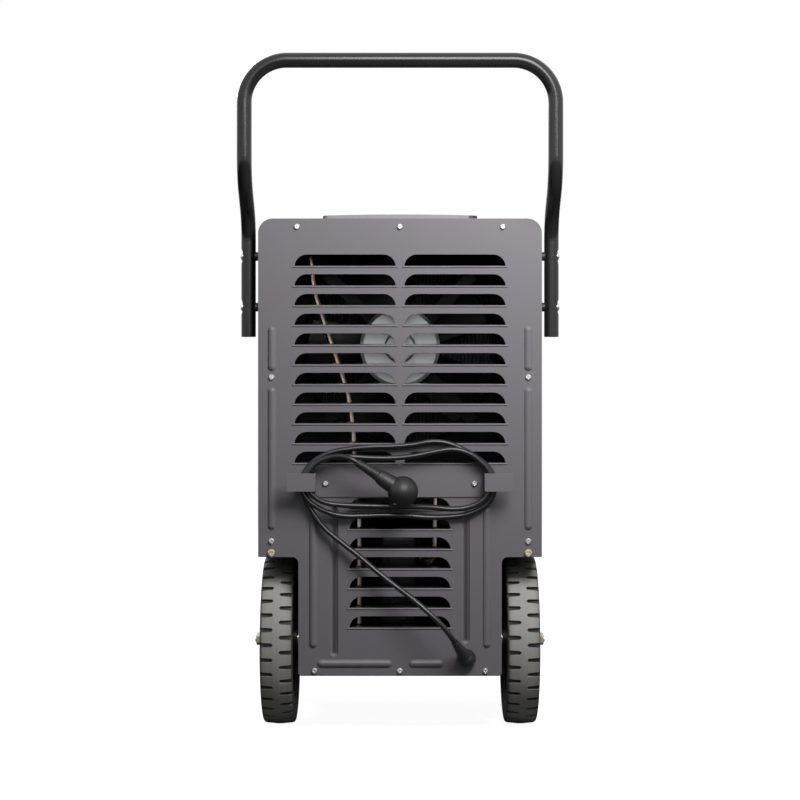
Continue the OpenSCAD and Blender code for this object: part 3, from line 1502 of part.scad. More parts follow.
back_panel();
casing_wrap();
base_pan();
wheel_arch_left();
wheel_arch_right();
deck();
bulkhead();
front_panel();
front_grille();
panel_screws();
arch_bolts();
handle_tube();
handle_spacers();
handle_bolts();
cord_bracket();
bracket_screws();
cable_gland();
mains_cord();
mains_plug();
plug_pins();
axle_left();
axle_right();
tyre_left();
tyre_right();
wheel_left();
wheel_right();
hub_nuts();
front_legs();
front_feet();
control_panel();
display_lens();
control_board();
button_1();
button_2();
button_3();
button_4();
button_5();
filter_frame();
filter_mesh();
fan_shroud();
fan_rotor();
fan_motor();
motor_bracket();
condenser();
evaporator();
coil_bends();
drip_tray();
compressor();
compressor_feet();
compressor_bolts();
refrigerant_pipes();
electrical_box();
run_capacitor();
water_tank();
tank_lid();
tank_front();
float_arm();
level_switch();
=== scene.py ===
import math

import bmesh
import bpy
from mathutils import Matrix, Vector


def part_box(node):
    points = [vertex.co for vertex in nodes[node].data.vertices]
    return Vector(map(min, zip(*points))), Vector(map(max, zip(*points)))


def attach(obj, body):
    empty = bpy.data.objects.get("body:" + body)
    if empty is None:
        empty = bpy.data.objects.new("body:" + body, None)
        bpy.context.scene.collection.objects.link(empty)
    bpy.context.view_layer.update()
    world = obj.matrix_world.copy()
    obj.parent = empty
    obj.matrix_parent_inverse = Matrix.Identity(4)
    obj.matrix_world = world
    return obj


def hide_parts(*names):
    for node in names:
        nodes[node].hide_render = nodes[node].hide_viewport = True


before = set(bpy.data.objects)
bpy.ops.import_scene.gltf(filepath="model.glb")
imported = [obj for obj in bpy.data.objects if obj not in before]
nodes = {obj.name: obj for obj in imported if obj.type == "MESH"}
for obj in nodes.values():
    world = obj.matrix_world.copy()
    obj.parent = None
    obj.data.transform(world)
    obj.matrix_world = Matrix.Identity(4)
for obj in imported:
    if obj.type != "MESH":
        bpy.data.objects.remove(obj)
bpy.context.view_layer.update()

# ---- Camera ----
# The machine is seen square on from behind, a little above half its height, with a
# long lens. The back panel's outer face is the plane that the distances start from.
scene = bpy.context.scene
back_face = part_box("cord_bracket")[0].y
camera_distance = 2.76
camera_height = 0.5177
view_width = 1.1976
view_rise = -0.0125
lens = bpy.data.cameras.new("camera")
lens.sensor_width = 36.0
lens.lens = lens.sensor_width * camera_distance / view_width
lens.shift_y = view_rise
camera = bpy.data.objects.new("camera", lens)
scene.collection.objects.link(camera)
camera.location = (0.0, back_face + camera_distance, camera_height)
camera.rotation_euler = (math.radians(90.0), 0.0, math.radians(180.0))
scene.camera = camera


# ---- Mains cord ----
# An 8 mm three-core rubber cable. It leaves the gland, crosses the back in a diagonal,
# lies in two turns round the hooks and ends in the plug. Extruded, with a dull sheen.
cord_diameter = 0.008
cord_route = [
    (-0.0803, 0.0322, 0.1453), (-0.0778, 0.0354, 0.1491), (-0.0705, 0.0403, 0.16),
    (-0.0565, 0.042, 0.176), (-0.04, 0.039, 0.191), (-0.02, 0.033, 0.2075), (0.002, 0.026, 0.2235),
    (0.03, 0.019, 0.2445), (0.062, 0.014, 0.271), (0.092, 0.011, 0.294), (0.114, 0.009, 0.313),
    (0.127, 0.008, 0.33), (0.137, 0.007, 0.347), (0.1435, 0.0065, 0.363), (0.145, 0.0065, 0.38),
    (0.1405, 0.0065, 0.397), (0.13, 0.0065, 0.41), (0.115, 0.0065, 0.4195), (0.097, 0.0065, 0.426),
    (0.075, 0.0065, 0.4295), (0.044, 0.0065, 0.4325), (0.01, 0.0065, 0.4335),
    (-0.02, 0.0065, 0.436), (-0.048, 0.0065, 0.4405), (-0.07, 0.0065, 0.4385),
    (-0.09, 0.0065, 0.431), (-0.109, 0.0065, 0.4205), (-0.125, 0.0065, 0.409),
    (-0.1365, 0.0065, 0.396), (-0.1415, 0.0065, 0.38), (-0.1395, 0.0065, 0.363),
    (-0.131, 0.0065, 0.349), (-0.117, 0.0065, 0.339), (-0.099, 0.0065, 0.332),
    (-0.075, 0.0065, 0.3285), (-0.045, 0.0065, 0.3275), (-0.01, 0.0065, 0.33),
    (0.025, 0.0065, 0.3305), (0.06, 0.0075, 0.3295), (0.084, 0.0095, 0.33), (0.105, 0.012, 0.3345),
    (0.124, 0.0143, 0.3435), (0.138, 0.0148, 0.355), (0.1455, 0.0148, 0.37),
    (0.1445, 0.0148, 0.386), (0.137, 0.0148, 0.4), (0.124, 0.0148, 0.4105),
    (0.106, 0.0148, 0.4165), (0.08, 0.0148, 0.4185), (0.044, 0.0148, 0.4165),
    (0.008, 0.0148, 0.4165), (-0.024, 0.0148, 0.42), (-0.054, 0.0148, 0.426),
    (-0.08, 0.0148, 0.429), (-0.103, 0.0148, 0.423), (-0.119, 0.0148, 0.412),
    (-0.1305, 0.0148, 0.399), (-0.1355, 0.0148, 0.382), (-0.133, 0.0148, 0.366),
    (-0.1225, 0.0148, 0.353), (-0.106, 0.0148, 0.3445), (-0.082, 0.0148, 0.3405),
    (-0.05, 0.0125, 0.3425), (-0.015, 0.0085, 0.3435), (0.02, 0.0085, 0.344),
    (0.055, 0.012, 0.345), (0.086, 0.017, 0.3465), (0.108, 0.02, 0.3495), (0.125, 0.0223, 0.3575),
    (0.1355, 0.023, 0.37), (0.138, 0.023, 0.385), (0.133, 0.0232, 0.4), (0.1215, 0.024, 0.411),
    (0.107, 0.026, 0.417), (0.0925, 0.03, 0.4195), (0.08, 0.035, 0.4185), (0.0694, 0.0378, 0.4145),
    (0.0643, 0.038, 0.4113),
]


def fine_grain():
    """A group for the fine grain of a moulded or sprayed surface and its rounded edges."""
    group = bpy.data.node_groups.new("fine grain", "ShaderNodeTree")
    for name, kind, way in (("Scale", "NodeSocketFloat", "INPUT"),
                            ("Height", "NodeSocketFloat", "INPUT"),
                            ("Edge", "NodeSocketFloat", "INPUT"),
                            ("Normal", "NodeSocketVector", "OUTPUT")):
        group.interface.new_socket(name=name, in_out=way, socket_type=kind)
    add, join = group.nodes.new, group.links.new
    given, made = add("NodeGroupInput"), add("NodeGroupOutput")
    place, speckle = add("ShaderNodeTexCoord"), add("ShaderNodeTexNoise")
    bevel, bump = add("ShaderNodeBevel"), add("ShaderNodeBump")
    speckle.inputs["Detail"].default_value = 3.0
    bevel.samples = 4
    join(place.outputs["Object"], speckle.inputs["Vector"])
    join(given.outputs["Scale"], speckle.inputs["Scale"])
    join(speckle.outputs["Fac"], bump.inputs["Height"])
    join(given.outputs["Height"], bump.inputs["Distance"])
    join(given.outputs["Edge"], bevel.inputs["Radius"])
    join(bevel.outputs["Normal"], bump.inputs["Normal"])
    join(bump.outputs["Normal"], made.inputs["Normal"])
    return group


def shade_drift():
    """A group for the slow drift of a colour and its roughness over a surface."""
    group = bpy.data.node_groups.new("shade drift", "ShaderNodeTree")
    for name, kind, way in (("Color", "NodeSocketColor", "INPUT"),
                            ("Roughness", "NodeSocketFloat", "INPUT"),
                            ("Scale", "NodeSocketFloat", "INPUT"),
                            ("Amount", "NodeSocketFloat", "INPUT"),
                            ("Color", "NodeSocketColor", "OUTPUT"),
                            ("Roughness", "NodeSocketFloat", "OUTPUT")):
        group.interface.new_socket(name=name, in_out=way, socket_type=kind)
    add, join = group.nodes.new, group.links.new
    given, made = add("NodeGroupInput"), add("NodeGroupOutput")
    place, cloud = add("ShaderNodeTexCoord"), add("ShaderNodeTexNoise")
    swing, tint = add("ShaderNodeMath"), add("ShaderNodeHueSaturation")
    level, rough = add("ShaderNodeMath"), add("ShaderNodeMath")
    cloud.inputs["Detail"].default_value = 5.0
    swing.operation = "SUBTRACT"
    swing.inputs[1].default_value = 0.5
    level.operation = "MULTIPLY_ADD"
    level.inputs[2].default_value = 1.0
    rough.operation = "MULTIPLY"
    join(place.outputs["Object"], cloud.inputs["Vector"])
    join(given.outputs["Scale"], cloud.inputs["Scale"])
    join(cloud.outputs["Fac"], swing.inputs[0])
    join(swing.outputs[0], level.inputs[0])
    join(given.outputs["Amount"], level.inputs[1])
    join(level.outputs[0], tint.inputs["Value"])
    join(given.outputs["Color"], tint.inputs["Color"])
    join(tint.outputs["Color"], made.inputs["Color"])
    join(given.outputs["Roughness"], rough.inputs[0])
    join(level.outputs[0], rough.inputs[1])
    join(rough.outputs[0], made.inputs["Roughness"])
    return group


grain_group = fine_grain()
drift_group = shade_drift()


def finish(name, colour, roughness, metallic=0.0, specular=0.5, grain=(900.0, 0.00002),
           edge=0.0004, drift=(9.0, 0.25)):
    """A material for one of the machine's finishes.

    The grain is its scale and height, the edge is the radius of the rounded edges, and the
    drift is its scale and its amount.
    """
    material = bpy.data.materials.new(name)
    material.use_nodes = True
    tree = material.node_tree
    shader = tree.nodes["Principled BSDF"]
    fine = tree.nodes.new("ShaderNodeGroup")
    fine.node_tree = grain_group
    fine.inputs["Scale"].default_value = grain[0]
    fine.inputs["Height"].default_value = grain[1]
    fine.inputs["Edge"].default_value = edge
    slow = tree.nodes.new("ShaderNodeGroup")
    slow.name = "drift"
    slow.node_tree = drift_group
    slow.inputs["Color"].default_value = (*colour, 1.0)
    slow.inputs["Roughness"].default_value = roughness
    slow.inputs["Scale"].default_value = drift[0]
    slow.inputs["Amount"].default_value = drift[1]
    tree.links.new(slow.outputs["Color"], shader.inputs["Base Color"])
    tree.links.new(slow.outputs["Roughness"], shader.inputs["Roughness"])
    tree.links.new(fine.outputs["Normal"], shader.inputs["Normal"])
    shader.inputs["Metallic"].default_value = metallic
    shader.inputs["Specular IOR Level"].default_value = specular
    return material


cable_rubber = finish("cable rubber", (0.010, 0.010, 0.011), 0.27, grain=(2600.0, 0.00002))
cable = bpy.data.curves.new("mains_cable", "CURVE")
cable.dimensions = "3D"
cable.bevel_depth = cord_diameter / 2
cable.bevel_resolution = 5
cable.resolution_u = 6
cable.use_fill_caps = True
strand = cable.splines.new("BEZIER")
strand.bezier_points.add(len(cord_route) - 1)
for knot, (x, y, z) in zip(strand.bezier_points, cord_route):
    knot.co = (x, back_face + y, z)
    knot.handle_left_type = "AUTO"
    knot.handle_right_type = "AUTO"
cable.materials.append(cable_rubber)
mains_cable = bpy.data.objects.new("mains_cable", cable)
scene.collection.objects.link(mains_cable)
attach(mains_cable, "chassis")
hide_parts("mains_cord")


def dress(material, *names):
    """The material on each of these CAD nodes."""
    for name in names:
        for slot in nodes[name].material_slots:
            slot.material = material


def piece(name, mesh, material, body):
    """An object of the machine from a bmesh, with its finish and body."""
    data = bpy.data.meshes.new(name)
    mesh.to_mesh(data)
    mesh.free()
    made = bpy.data.objects.new(name, data)
    scene.collection.objects.link(made)
    data.materials.append(material)
    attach(made, body)
    return made


plug_rubber = finish("plug rubber", (0.010, 0.010, 0.010), 0.46, grain=(1800.0, 0.00003))
pin_nickel = finish("pin nickel", (0.72, 0.68, 0.60), 0.22, metallic=1.0, grain=(600.0, 0.0))
dress(pin_nickel, "plug_pins")
merge_distance = 0.000004


def turned(mesh, profile, start, along, steps=48):
    """Adds a closed turned shape. The profile's points are (distance along, radius)."""
    along = along.normalized()
    out = along.orthogonal().normalized()
    knots = [mesh.verts.new(start + along * h + out * r) for h, r in profile]
    edges = [mesh.edges.new(pair) for pair in zip(knots, knots[1:])]
    bmesh.ops.spin(mesh, geom=knots + edges, cent=start, axis=along,
                   angle=2 * math.pi, steps=steps, use_merge=True, use_duplicate=False)
    bmesh.ops.remove_doubles(mesh, verts=mesh.verts, dist=merge_distance)
    bmesh.ops.recalc_face_normals(mesh, faces=mesh.faces)


plug_centre = Vector((-0.0045, back_face + 0.038, 0.3683))
neck_tilt = math.radians(32.0)
neck_way = Vector((math.cos(neck_tilt), 0.0, math.sin(neck_tilt)))
pins_low, pins_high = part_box("plug_pins")
pin_way = (pins_low + pins_high) / 2 - plug_centre
pin_way = (pin_way - neck_way * pin_way.dot(neck_way)).normalized()
body_radius = 0.0205
collar_radius = body_radius + 0.002
face_out = 0.013
dome_steps = 10
plug_mesh = bmesh.new()
body = []
for k in range(dome_steps):
    angle = math.pi / 2 * k / dome_steps
    body.append((-collar_radius * math.cos(angle), collar_radius * math.sin(angle)))
body += [(0.0, collar_radius), (0.004, collar_radius - 0.0008), (0.0055, body_radius - 0.0005),
         (0.0075, body_radius), (face_out - 0.001, body_radius),
         (face_out, body_radius - 0.001), (face_out, 0.0)]
turned(plug_mesh, body, plug_centre, pin_way)
neck = [(0.0, 0.0), (0.0, 0.0125), (0.018, 0.0132), (0.034, 0.0118), (0.043, 0.0098),
        (0.044, 0.0085), (0.044, 0.0)]
turned(plug_mesh, neck, plug_centre, neck_way)
sleeve_start = 0.040
sleeve_end = 0.0808
sleeve_wide = 0.0090
sleeve_narrow = 0.0056
groove = 0.0012
sleeve_rings = 8
ring_pitch = (sleeve_end - sleeve_start) / sleeve_rings
sleeve = [(sleeve_start, 0.0)]
for k in range(sleeve_rings):
    at = sleeve_start + ring_pitch * k
    wide = sleeve_wide - (sleeve_wide - sleeve_narrow) * k / sleeve_rings
    sleeve += [(at + 0.0002, wide), (at + ring_pitch * 0.55, wide),
               (at + ring_pitch * 0.65, wide - groove), (at + ring_pitch * 0.97, wide - groove)]
sleeve += [(sleeve_end, cord_diameter / 2 + 0.0008), (sleeve_end, 0.0)]
turned(plug_mesh, sleeve, plug_centre, neck_way, 32)
plug_body = piece("plug_body", plug_mesh, plug_rubber, "chassis")
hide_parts("mains_plug")
clip_mesh = bmesh.new()
clip_side = neck_way.cross(pin_way).normalized()
clip_out = 0.0095
clip_sunk = 0.0004
clip = [(0.0, 0.0), (0.0, 0.0024), (0.0012, 0.0024), (0.0016, 0.0016), (0.0016, 0.0)]
for way in (-clip_side, clip_side):
    clip_seat = plug_centre + pin_way * clip_out + way * (body_radius - clip_sunk)
    turned(clip_mesh, clip, clip_seat, way, 20)
piece("earth_clips", clip_mesh, pin_nickel, "chassis")

# ---- Cord gland ----
# A black nylon gland in the back panel, with a domed nut and a soft tapered sleeve that
# keeps the cord from kinking where it comes out.
gland_nylon = finish("gland nylon", (0.011, 0.011, 0.012), 0.42, grain=(1400.0, 0.00003))
dress(gland_nylon, "cable_gland")

# ---- Back panel, casing and base ----
# Folded 1.2 mm sheet steel in a satin anthracite powder coat with a fine orange peel, also
# on the hook bracket. On the back panel the coat fades to near black deeper than the outer
# face: painted shade on the louvre flaps.
coat_colour = (0.102, 0.096, 0.105)
flap_shade_colour = (0.008, 0.008, 0.008)
shade_full_depth = 0.0034
shade_start_depth = 0.0018
anthracite = finish("anthracite powder coat", coat_colour, 0.50, specular=0.30,
                    grain=(1400.0, 0.00003), edge=0.0008, drift=(4.0, 0.12))
panel_coat_shaded = finish("back panel coat with painted shade", coat_colour, 0.36, specular=0.30,
                    grain=(1400.0, 0.00003), edge=0.0008, drift=(4.0, 0.12))


def axes_of(tree):
    """A node that gives X, Y and Z in the machine's own frame."""
    place = tree.nodes.new("ShaderNodeTexCoord")
    axes = tree.nodes.new("ShaderNodeSeparateXYZ")
    tree.links.new(place.outputs["Object"], axes.inputs["Vector"])
    return axes


def two_tone(tree, mask, first, second):
    """The first colour where the mask is 0 and the second where it is 1, for a finish."""
    mix = tree.nodes.new("ShaderNodeMix")
    mix.data_type = "RGBA"
    mix.inputs["A"].default_value = (*first, 1.0)
    mix.inputs["B"].default_value = (*second, 1.0)
    tree.links.new(mask, mix.inputs["Factor"])
    tree.links.new(mix.outputs["Result"], tree.nodes["drift"].inputs["Color"])


panel_tree = panel_coat_shaded.node_tree
# Deeper than the panel's outer face, on the louvre flaps, the coat turns near black as painted
# shade.
inner_shade_ramp = panel_tree.nodes.new("ShaderNodeMapRange")
inner_shade_ramp.inputs["From Min"].default_value = back_face - shade_full_depth
inner_shade_ramp.inputs["From Max"].default_value = back_face - shade_start_depth
panel_tree.links.new(axes_of(panel_tree).outputs["Y"], inner_shade_ramp.inputs["Value"])
two_tone(panel_tree, inner_shade_ramp.outputs["Result"], flap_shade_colour, coat_colour)
dress(anthracite, "casing_wrap", "base_pan", "wheel_arch_left", "wheel_arch_right",
      "cord_bracket")
dress(panel_coat_shaded, "back_panel")

# ---- Screws and bolts ----
# Zinc-plated pan heads with a cross recess, cold formed. The two bolts over the wheels have
# a yellow passivation, like the axles and their nuts.
zinc = finish("bright zinc", (0.72, 0.72, 0.70), 0.28, metallic=1.0, grain=(700.0, 0.00003))
yellow_zinc = finish("yellow zinc", (0.66, 0.60, 0.44), 0.34, metallic=1.0,
                     grain=(700.0, 0.00003))
dress(zinc, "handle_bolts", "compressor_bolts")
dress(yellow_zinc, "hub_nuts", "axle_left", "axle_right")


def islands(name):
    """The low and high corners of each connected patch of a CAD node's mesh.

    The mesh isn't merged, so a screw counts as five patches, one inside another.
    """
    mesh = bmesh.new()
    mesh.from_mesh(nodes[name].data)
    seen_knots = set()
    found = []
    for first in mesh.verts:
        if first in seen_knots:
            continue
        seen_knots.add(first)
        reached = [first]
        low = first.co.copy()
        high = first.co.copy()
        while reached:
            knot = reached.pop()
            low = Vector(map(min, low, knot.co))
            high = Vector(map(max, high, knot.co))
            for edge in knot.link_edges:
                other = edge.other_vert(knot)
                if other not in seen_knots:
                    seen_knots.add(other)
                    reached.append(other)
        found.append((low, high))
    mesh.free()
    return found


# The rounding is in shares of a head's radius and height, and the rest in head radii.
head_rounding = [(1.0, 0.0), (1.0, 0.25), (0.92, 0.62), (0.72, 1.0)]
head_sides = 24
head_height = 0.48
recess_arm = 0.12
recess_reach = 0.56
recess_depth = 0.30


def cross_heads(name, node, material):
    """Pan heads with a cross recess, one for each patch of a CAD node's screws.

    The outermost head shows, and the heads of a screw's other patches nest behind it.
    """
    mesh = bmesh.new()
    for low, high in islands(node):
        mid = (low + high) / 2
        radius = (high.x - low.x) / 2
        tall = radius * head_height
        seat_y = high.y - tall
        arm = radius * recess_arm
        reach = radius * recess_reach
        deep = radius * recess_depth
        rings = []
        for wide, up in head_rounding:
            ring = []
            for k in range(head_sides):
                angle = 2 * math.pi * (k + 0.5) / head_sides
                ring.append(mesh.verts.new((mid.x + radius * wide * math.sin(angle),
                                            seat_y + tall * up,
                                            mid.z + radius * wide * math.cos(angle))))
            rings.append(ring)
        corners = [(arm, reach), (arm, arm), (reach, arm)]
        cross = [(x, z) for x, z in corners] + [(z, -x) for x, z in corners]
        cross += [(-x, -z) for x, z in corners] + [(-z, x) for x, z in corners]
        rim, pit = [[mesh.verts.new((mid.x + x, seat_y + up, mid.z + z)) for x, z in cross]
                    for up in (tall, tall - deep)]
        for lower, upper in zip(rings, rings[1:]):
            for k in range(head_sides):
                mesh.faces.new((lower[k], lower[k - 1], upper[k - 1], upper[k]))
        for k in range(len(cross)):
            mesh.faces.new((rim[k], rim[k - 1], pit[k - 1], pit[k]))
        loops = []
        for ring in (rings[-1], rim):
            loops += [mesh.edges.get((ring[k], ring[k - 1])) for k in range(len(ring))]
        bmesh.ops.bridge_loops(mesh, edges=loops)
        mesh.faces.new(pit)
        mesh.faces.new(rings[0])
    bmesh.ops.recalc_face_normals(mesh, faces=mesh.faces)
    heads = piece(name, mesh, material, "chassis")
    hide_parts(node)


cross_heads("panel_screw_heads", "panel_screws", zinc)
cross_heads("bracket_screw_heads", "bracket_screws", zinc)
cross_heads("arch_bolt_heads", "arch_bolts", yellow_zinc)

# ---- Side cap ----
# A plain domed blanking cap, moulded in black plastic and pressed onto the casing's side,
# lower than the handle's bolts.
cap_plastic = finish("cap plastic", (0.020, 0.020, 0.022), 0.45, grain=(1400.0, 0.00004))
cap_seat = Vector((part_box("casing_wrap")[1].x, -0.020, 0.575))
cap_side = Vector((1.0, 0.0, 0.0))
cap_dome = [(-0.0005, 0.0), (-0.0005, 0.033), (0.0012, 0.033), (0.0026, 0.0315),
            (0.0033, 0.027), (0.0034, 0.0)]
cap_mesh = bmesh.new()
turned(cap_mesh, cap_dome, cap_seat, cap_side, 64)
piece("side_cap", cap_mesh, cap_plastic, "chassis")

# ---- Push handle ----
# A bent 22 mm steel tube in gloss black, bolted to the sides through plastic spacers. The
# front legs and the compressor's shell have the same gloss coat.
gloss_black = finish("gloss black coat", (0.009, 0.009, 0.009), 0.20, specular=0.4, edge=0.0006)
spacer_plastic = finish("spacer plastic", (0.012, 0.012, 0.012), 0.45)
dress(gloss_black, "handle_tube", "front_legs", "compressor")
dress(spacer_plastic, "handle_spacers")

# ---- Wheels ----
# Solid rubber tyres on black plastic wheels, which turn on zinc-plated axle pins. The tread
# is grey at its full radius and darker below it, in its notches and on the walls.
notch_colour = (0.022, 0.021, 0.020)
tread_colour = (0.200, 0.196, 0.186)
notch_depth = 0.0045
tread_band_depth = 0.0010
tyre_rubber = finish("tyre rubber", tread_colour, 0.72, grain=(500.0, 0.00012), edge=0.0008,
                     drift=(14.0, 0.5))
wheel_plastic = finish("wheel plastic", (0.018, 0.018, 0.018), 0.45, grain=(1200.0, 0.00004))
tyre_low, tyre_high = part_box("tyre_left")
tyre_middle = (tyre_low + tyre_high) / 2
tyre_radius = (tyre_high.z - tyre_low.z) / 2
tyre_tree = tyre_rubber.node_tree
spot = tyre_tree.nodes.new("ShaderNodeTexCoord")
offset = tyre_tree.nodes.new("ShaderNodeVectorMath")
offset.operation = "SUBTRACT"
offset.inputs[1].default_value = (0.0, tyre_middle.y, tyre_middle.z)
flat = tyre_tree.nodes.new("ShaderNodeVectorMath")
flat.operation = "MULTIPLY"
flat.inputs[1].default_value = (0.0, 1.0, 1.0)
away = tyre_tree.nodes.new("ShaderNodeVectorMath")
away.operation = "LENGTH"
# Darker below the tread's full radius, in the notches and on the walls.
tread_band = tyre_tree.nodes.new("ShaderNodeMapRange")
tread_band.inputs["From Min"].default_value = tyre_radius - notch_depth
tread_band.inputs["From Max"].default_value = tyre_radius - tread_band_depth
tyre_tree.links.new(spot.outputs["Object"], offset.inputs[0])
tyre_tree.links.new(offset.outputs["Vector"], flat.inputs[0])
tyre_tree.links.new(flat.outputs["Vector"], away.inputs[0])
tyre_tree.links.new(away.outputs["Value"], tread_band.inputs["Value"])
two_tone(tyre_tree, tread_band.outputs["Result"], notch_colour, tread_colour)
dress(tyre_rubber, "tyre_left", "tyre_right")
dress(wheel_plastic, "wheel_left", "wheel_right")

# ---- Front, grille and filter ----
# The front cover and its grille are moulded in dark plastic, and the tank's front matches.
# Behind the grille stands a framed air filter of woven black nylon.
front_plastic = finish("front cover plastic", (0.028, 0.028, 0.030), 0.42,
                       grain=(1500.0, 0.00006), edge=0.0008)
grille_plastic = finish("grille plastic", (0.014, 0.014, 0.015), 0.48, grain=(1500.0, 0.00005))
gap_colour = (0.006, 0.006, 0.006)
thread_colour = (0.075, 0.075, 0.080)
filter_nylon = finish("filter nylon", thread_colour, 0.8, grain=(1100.0, 0.0001))
thread_pitch = 0.0026
bands_per_turn = 20
filter_tree = filter_nylon.node_tree
filter_spot = filter_tree.nodes.new("ShaderNodeTexCoord")
weave = filter_tree.nodes.new("ShaderNodeMath")
weave.operation = "MAXIMUM"
for side, way in enumerate("XZ"):
    threads = filter_tree.nodes.new("ShaderNodeTexWave")
    threads.bands_direction = way
    threads.inputs["Scale"].default_value = 2 * math.pi / (bands_per_turn * thread_pitch)
    filter_tree.links.new(filter_spot.outputs["Object"], threads.inputs["Vector"])
    filter_tree.links.new(threads.outputs["Fac"], weave.inputs[side])
two_tone(filter_tree, weave.outputs[0], gap_colour, thread_colour)
dress(front_plastic, "front_panel", "tank_front")
dress(grille_plastic, "front_grille", "filter_frame", "fan_rotor", "level_switch",
      "drip_tray", "electrical_box")
dress(filter_nylon, "filter_mesh")

# ---- Control panel ----
# A black plastic console on the casing's top, with a smoked window, a circuit board and
# five buttons. A grey band along its rear edge is a painted reflection of the pale sky, and it
# stops short of one end, which is left black as painted shade.
console_colour = (0.014, 0.014, 0.015)
sky_reflection_colour = (0.150, 0.149, 0.152)
reflection_band_depth = 0.002
reflection_setback = 0.013
console_plastic_and_reflection = finish("console plastic with painted reflection", console_colour, 0.38, grain=(1600.0, 0.00004),
                         edge=0.0008)
smoked_window = finish("smoked window", (0.004, 0.004, 0.005), 0.08, grain=(300.0, 0.0))
board_green = finish("board green", (0.01, 0.06, 0.03), 0.4)
button_plastic = finish("button plastic", (0.32, 0.33, 0.34), 0.35)
console_low, console_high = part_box("control_panel")
console_tree = console_plastic_and_reflection.node_tree
console_axes = axes_of(console_tree)
# The grey band along the rear edge is a painted reflection of the pale sky.
rear = console_tree.nodes.new("ShaderNodeMath")
rear.operation = "GREATER_THAN"
rear.inputs[1].default_value = console_high.y - reflection_band_depth
inboard = console_tree.nodes.new("ShaderNodeMath")
inboard.operation = "GREATER_THAN"
inboard.inputs[1].default_value = console_low.x + reflection_setback
reflection_band = console_tree.nodes.new("ShaderNodeMath")
reflection_band.operation = "MULTIPLY"
console_tree.links.new(console_axes.outputs["Y"], rear.inputs[0])
console_tree.links.new(console_axes.outputs["X"], inboard.inputs[0])
console_tree.links.new(rear.outputs[0], reflection_band.inputs[0])
console_tree.links.new(inboard.outputs[0], reflection_band.inputs[1])
two_tone(console_tree, reflection_band.outputs[0], console_colour, sky_reflection_colour)
dress(console_plastic_and_reflection, "control_panel")
dress(smoked_window, "display_lens")
dress(board_green, "control_board")
dress(button_plastic, "button_1", "button_2", "button_3", "button_4", "button_5")

# ---- Feet ----
# Moulded black rubber: two feet pressed onto the front legs, and the soft mounts that the
# compressor stands on.
foot_rubber = finish("foot rubber", (0.015, 0.015, 0.015), 0.7, grain=(900.0, 0.00005))
dress(foot_rubber, "front_feet", "compressor_feet")

# ---- Inner sheet metal ----
# Folded galvanised steel, its grey darkened as painted shade inside the casing. The deck carries
# the coils and the fan above the compressor's bay, and the bulkhead under it parts that bay from
# the water tank.
galvanised_and_shade = finish("galvanised sheet with painted shade", (0.16, 0.165, 0.17), 0.42, metallic=1.0,
                    grain=(250.0, 0.00003), drift=(45.0, 0.5))
dress(galvanised_and_shade, "deck", "bulkhead")

# ---- Fan plate and motor bracket ----
# A steel plate with the fan's ring stands on the deck, and four arms on it hold the motor.
# Both are matt and coloured near black as painted shade for the dark behind the louvres.
shade_black = finish("black painted shade", (0.006, 0.006, 0.006), 0.6, specular=0.2,
                   grain=(900.0, 0.00003))
dress(shade_black, "fan_shroud", "motor_bracket")

# ---- Fan motor ----
# A closed motor with a body of cast aluminium and a turned rim at its rear end, clamped in
# the bracket. The rear end shows through the louvres.
cast_aluminium = finish("motor aluminium", (0.62, 0.63, 0.64), 0.36, metallic=1.0,
                        grain=(500.0, 0.00006))
dress(cast_aluminium, "fan_motor")

# ---- Coils and pipes ----
# Two blocks of aluminium fins, coloured near black as painted shade, pressed onto copper tubes.
# Bare copper pipes join them to the compressor.
fin_shade = finish("fins in painted shade", (0.020, 0.022, 0.024), 0.50)
copper = finish("copper", (0.66, 0.50, 0.40), 0.28, metallic=1.0, drift=(30.0, 0.5))
dress(fin_shade, "condenser", "evaporator")
dress(copper, "coil_bends", "refrigerant_pipes")

# ---- Water tank ----
# The tank and its lid are moulded in white plastic, with a foamed float on an arm inside.
# The run capacitor's case has the same white.
tank_plastic = finish("tank plastic", (0.62, 0.65, 0.67), 0.35)
float_foam = finish("float foam", (0.7, 0.7, 0.66), 0.7, grain=(900.0, 0.0001))
dress(tank_plastic, "water_tank", "tank_lid", "run_capacitor")
dress(float_foam, "float_arm")

# ---- Floor and light ----
# A plain pale floor, a faint even sky, a lamp close above the back that stays out of
# reflections, a key lamp to the side, a lamp for the sheen alone and one for the front.
floor_reach = 12.0
floor_glow = 0.945
floor_shade = (0.12, 0.12, 0.12)
floor_pale = (0.70, 0.70, 0.70)
white = (1.0, 1.0, 1.0, 1.0)
floor_mesh = bmesh.new()
bmesh.ops.create_grid(floor_mesh, x_segments=1, y_segments=1, size=floor_reach)
floor_data = bpy.data.meshes.new("floor")
floor_mesh.to_mesh(floor_data)
floor_mesh.free()
floor = bpy.data.objects.new("floor", floor_data)
scene.collection.objects.link(floor)
floor_paint = bpy.data.materials.new("floor paint")
floor_paint.use_nodes = True
floor_tree = floor_paint.node_tree
floor_shader = floor_tree.nodes["Principled BSDF"]
floor_shader.inputs["Roughness"].default_value = 0.9
floor_shader.inputs["Specular IOR Level"].default_value = 0.0
floor_shader.inputs["Emission Color"].default_value = white
floor_rays = floor_tree.nodes.new("ShaderNodeLightPath")
floor_seen = floor_tree.nodes.new("ShaderNodeMath")
floor_seen.operation = "MULTIPLY"
floor_seen.inputs[1].default_value = floor_glow
floor_tree.links.new(floor_rays.outputs["Is Camera Ray"], floor_seen.inputs[0])
floor_tree.links.new(floor_seen.outputs[0], floor_shader.inputs["Emission Strength"])
floor_tone = floor_tree.nodes.new("ShaderNodeMix")
floor_tone.data_type = "RGBA"
floor_tone.inputs["A"].default_value = (*floor_shade, 1.0)
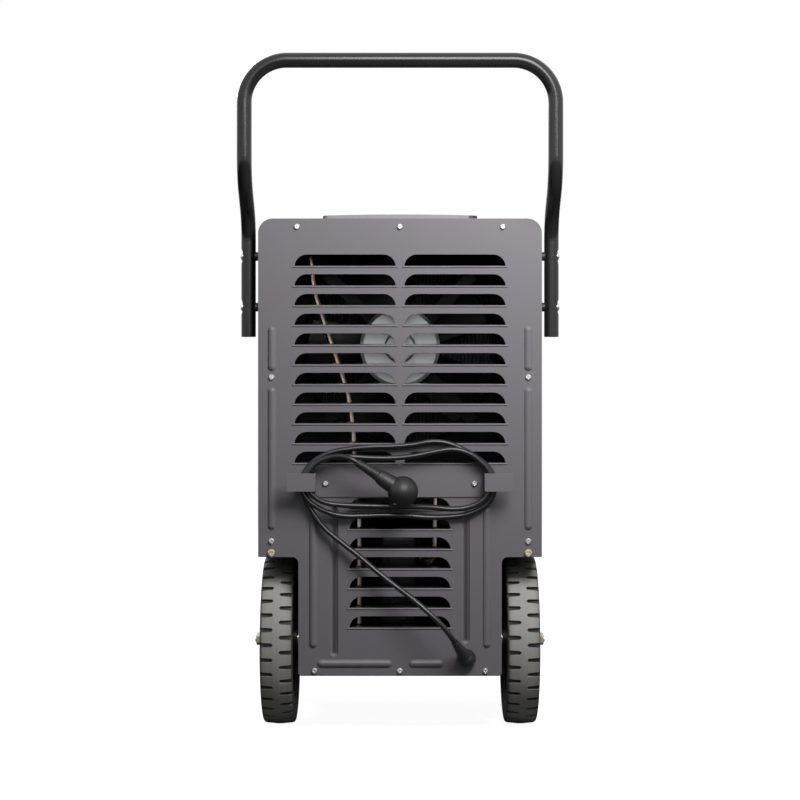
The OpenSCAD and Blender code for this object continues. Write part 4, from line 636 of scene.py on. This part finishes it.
floor_tone.inputs["B"].default_value = (*floor_pale, 1.0)
floor_tree.links.new(floor_rays.outputs["Is Camera Ray"], floor_tone.inputs["Factor"])
floor_tree.links.new(floor_tone.outputs["Result"], floor_shader.inputs["Base Color"])
floor_data.materials.append(floor_paint)

sky_light = 0.085
sky = bpy.data.worlds.new("studio")
sky.use_nodes = True
scene.world = sky
sky_tree = sky.node_tree
backdrop = sky_tree.nodes["Background"]
backdrop.inputs["Color"].default_value = white
rays = sky_tree.nodes.new("ShaderNodeLightPath")
seen = sky_tree.nodes.new("ShaderNodeMath")
seen.operation = "MAXIMUM"
seen_all = sky_tree.nodes.new("ShaderNodeMath")
seen_all.operation = "MAXIMUM"
strength = sky_tree.nodes.new("ShaderNodeMix")
strength.inputs["A"].default_value = sky_light
strength.inputs["B"].default_value = 1.0
sky_tree.links.new(rays.outputs["Is Camera Ray"], seen.inputs[0])
sky_tree.links.new(rays.outputs["Is Glossy Ray"], seen.inputs[1])
sky_tree.links.new(seen.outputs[0], seen_all.inputs[0])
sky_tree.links.new(rays.outputs["Is Transmission Ray"], seen_all.inputs[1])
sky_tree.links.new(seen_all.outputs[0], strength.inputs["Factor"])
sky_tree.links.new(strength.outputs["Result"], backdrop.inputs["Strength"])


def soft_lamp(name, place, aim, width, power):
    """A soft square lamp that shines from its place at a point of the machine."""
    data = bpy.data.lights.new(name, "AREA")
    data.shape = "SQUARE"
    data.size = width
    data.energy = power
    lamp = bpy.data.objects.new(name, data)
    scene.collection.objects.link(lamp)
    lamp.location = place
    lamp.rotation_euler = (Vector(aim) - Vector(place)).to_track_quat("-Z", "Y").to_euler()
    return lamp


hood_lamp = soft_lamp("hood lamp", place=(-0.45, 0.94, 1.30), aim=(0.0, 0.19, 0.70),
                      width=0.60, power=33.0)
hood_lamp.visible_glossy = False
soft_lamp("key lamp", place=(-1.1, 2.7, 1.2), aim=(0.0, 0.15, 0.5), width=0.32, power=2.2)
sheen_lamp = soft_lamp("sheen lamp", place=(-0.35, 2.6, 2.0), aim=(0.0, 0.2, 0.9),
                       width=1.2, power=60.0)
sheen_lamp.visible_diffuse = False
soft_lamp("front lamp", place=(1.4, -2.4, 2.2), aim=(0.0, 0.0, 0.5), width=1.6, power=45.0)
scene.view_settings.view_transform = "Standard"
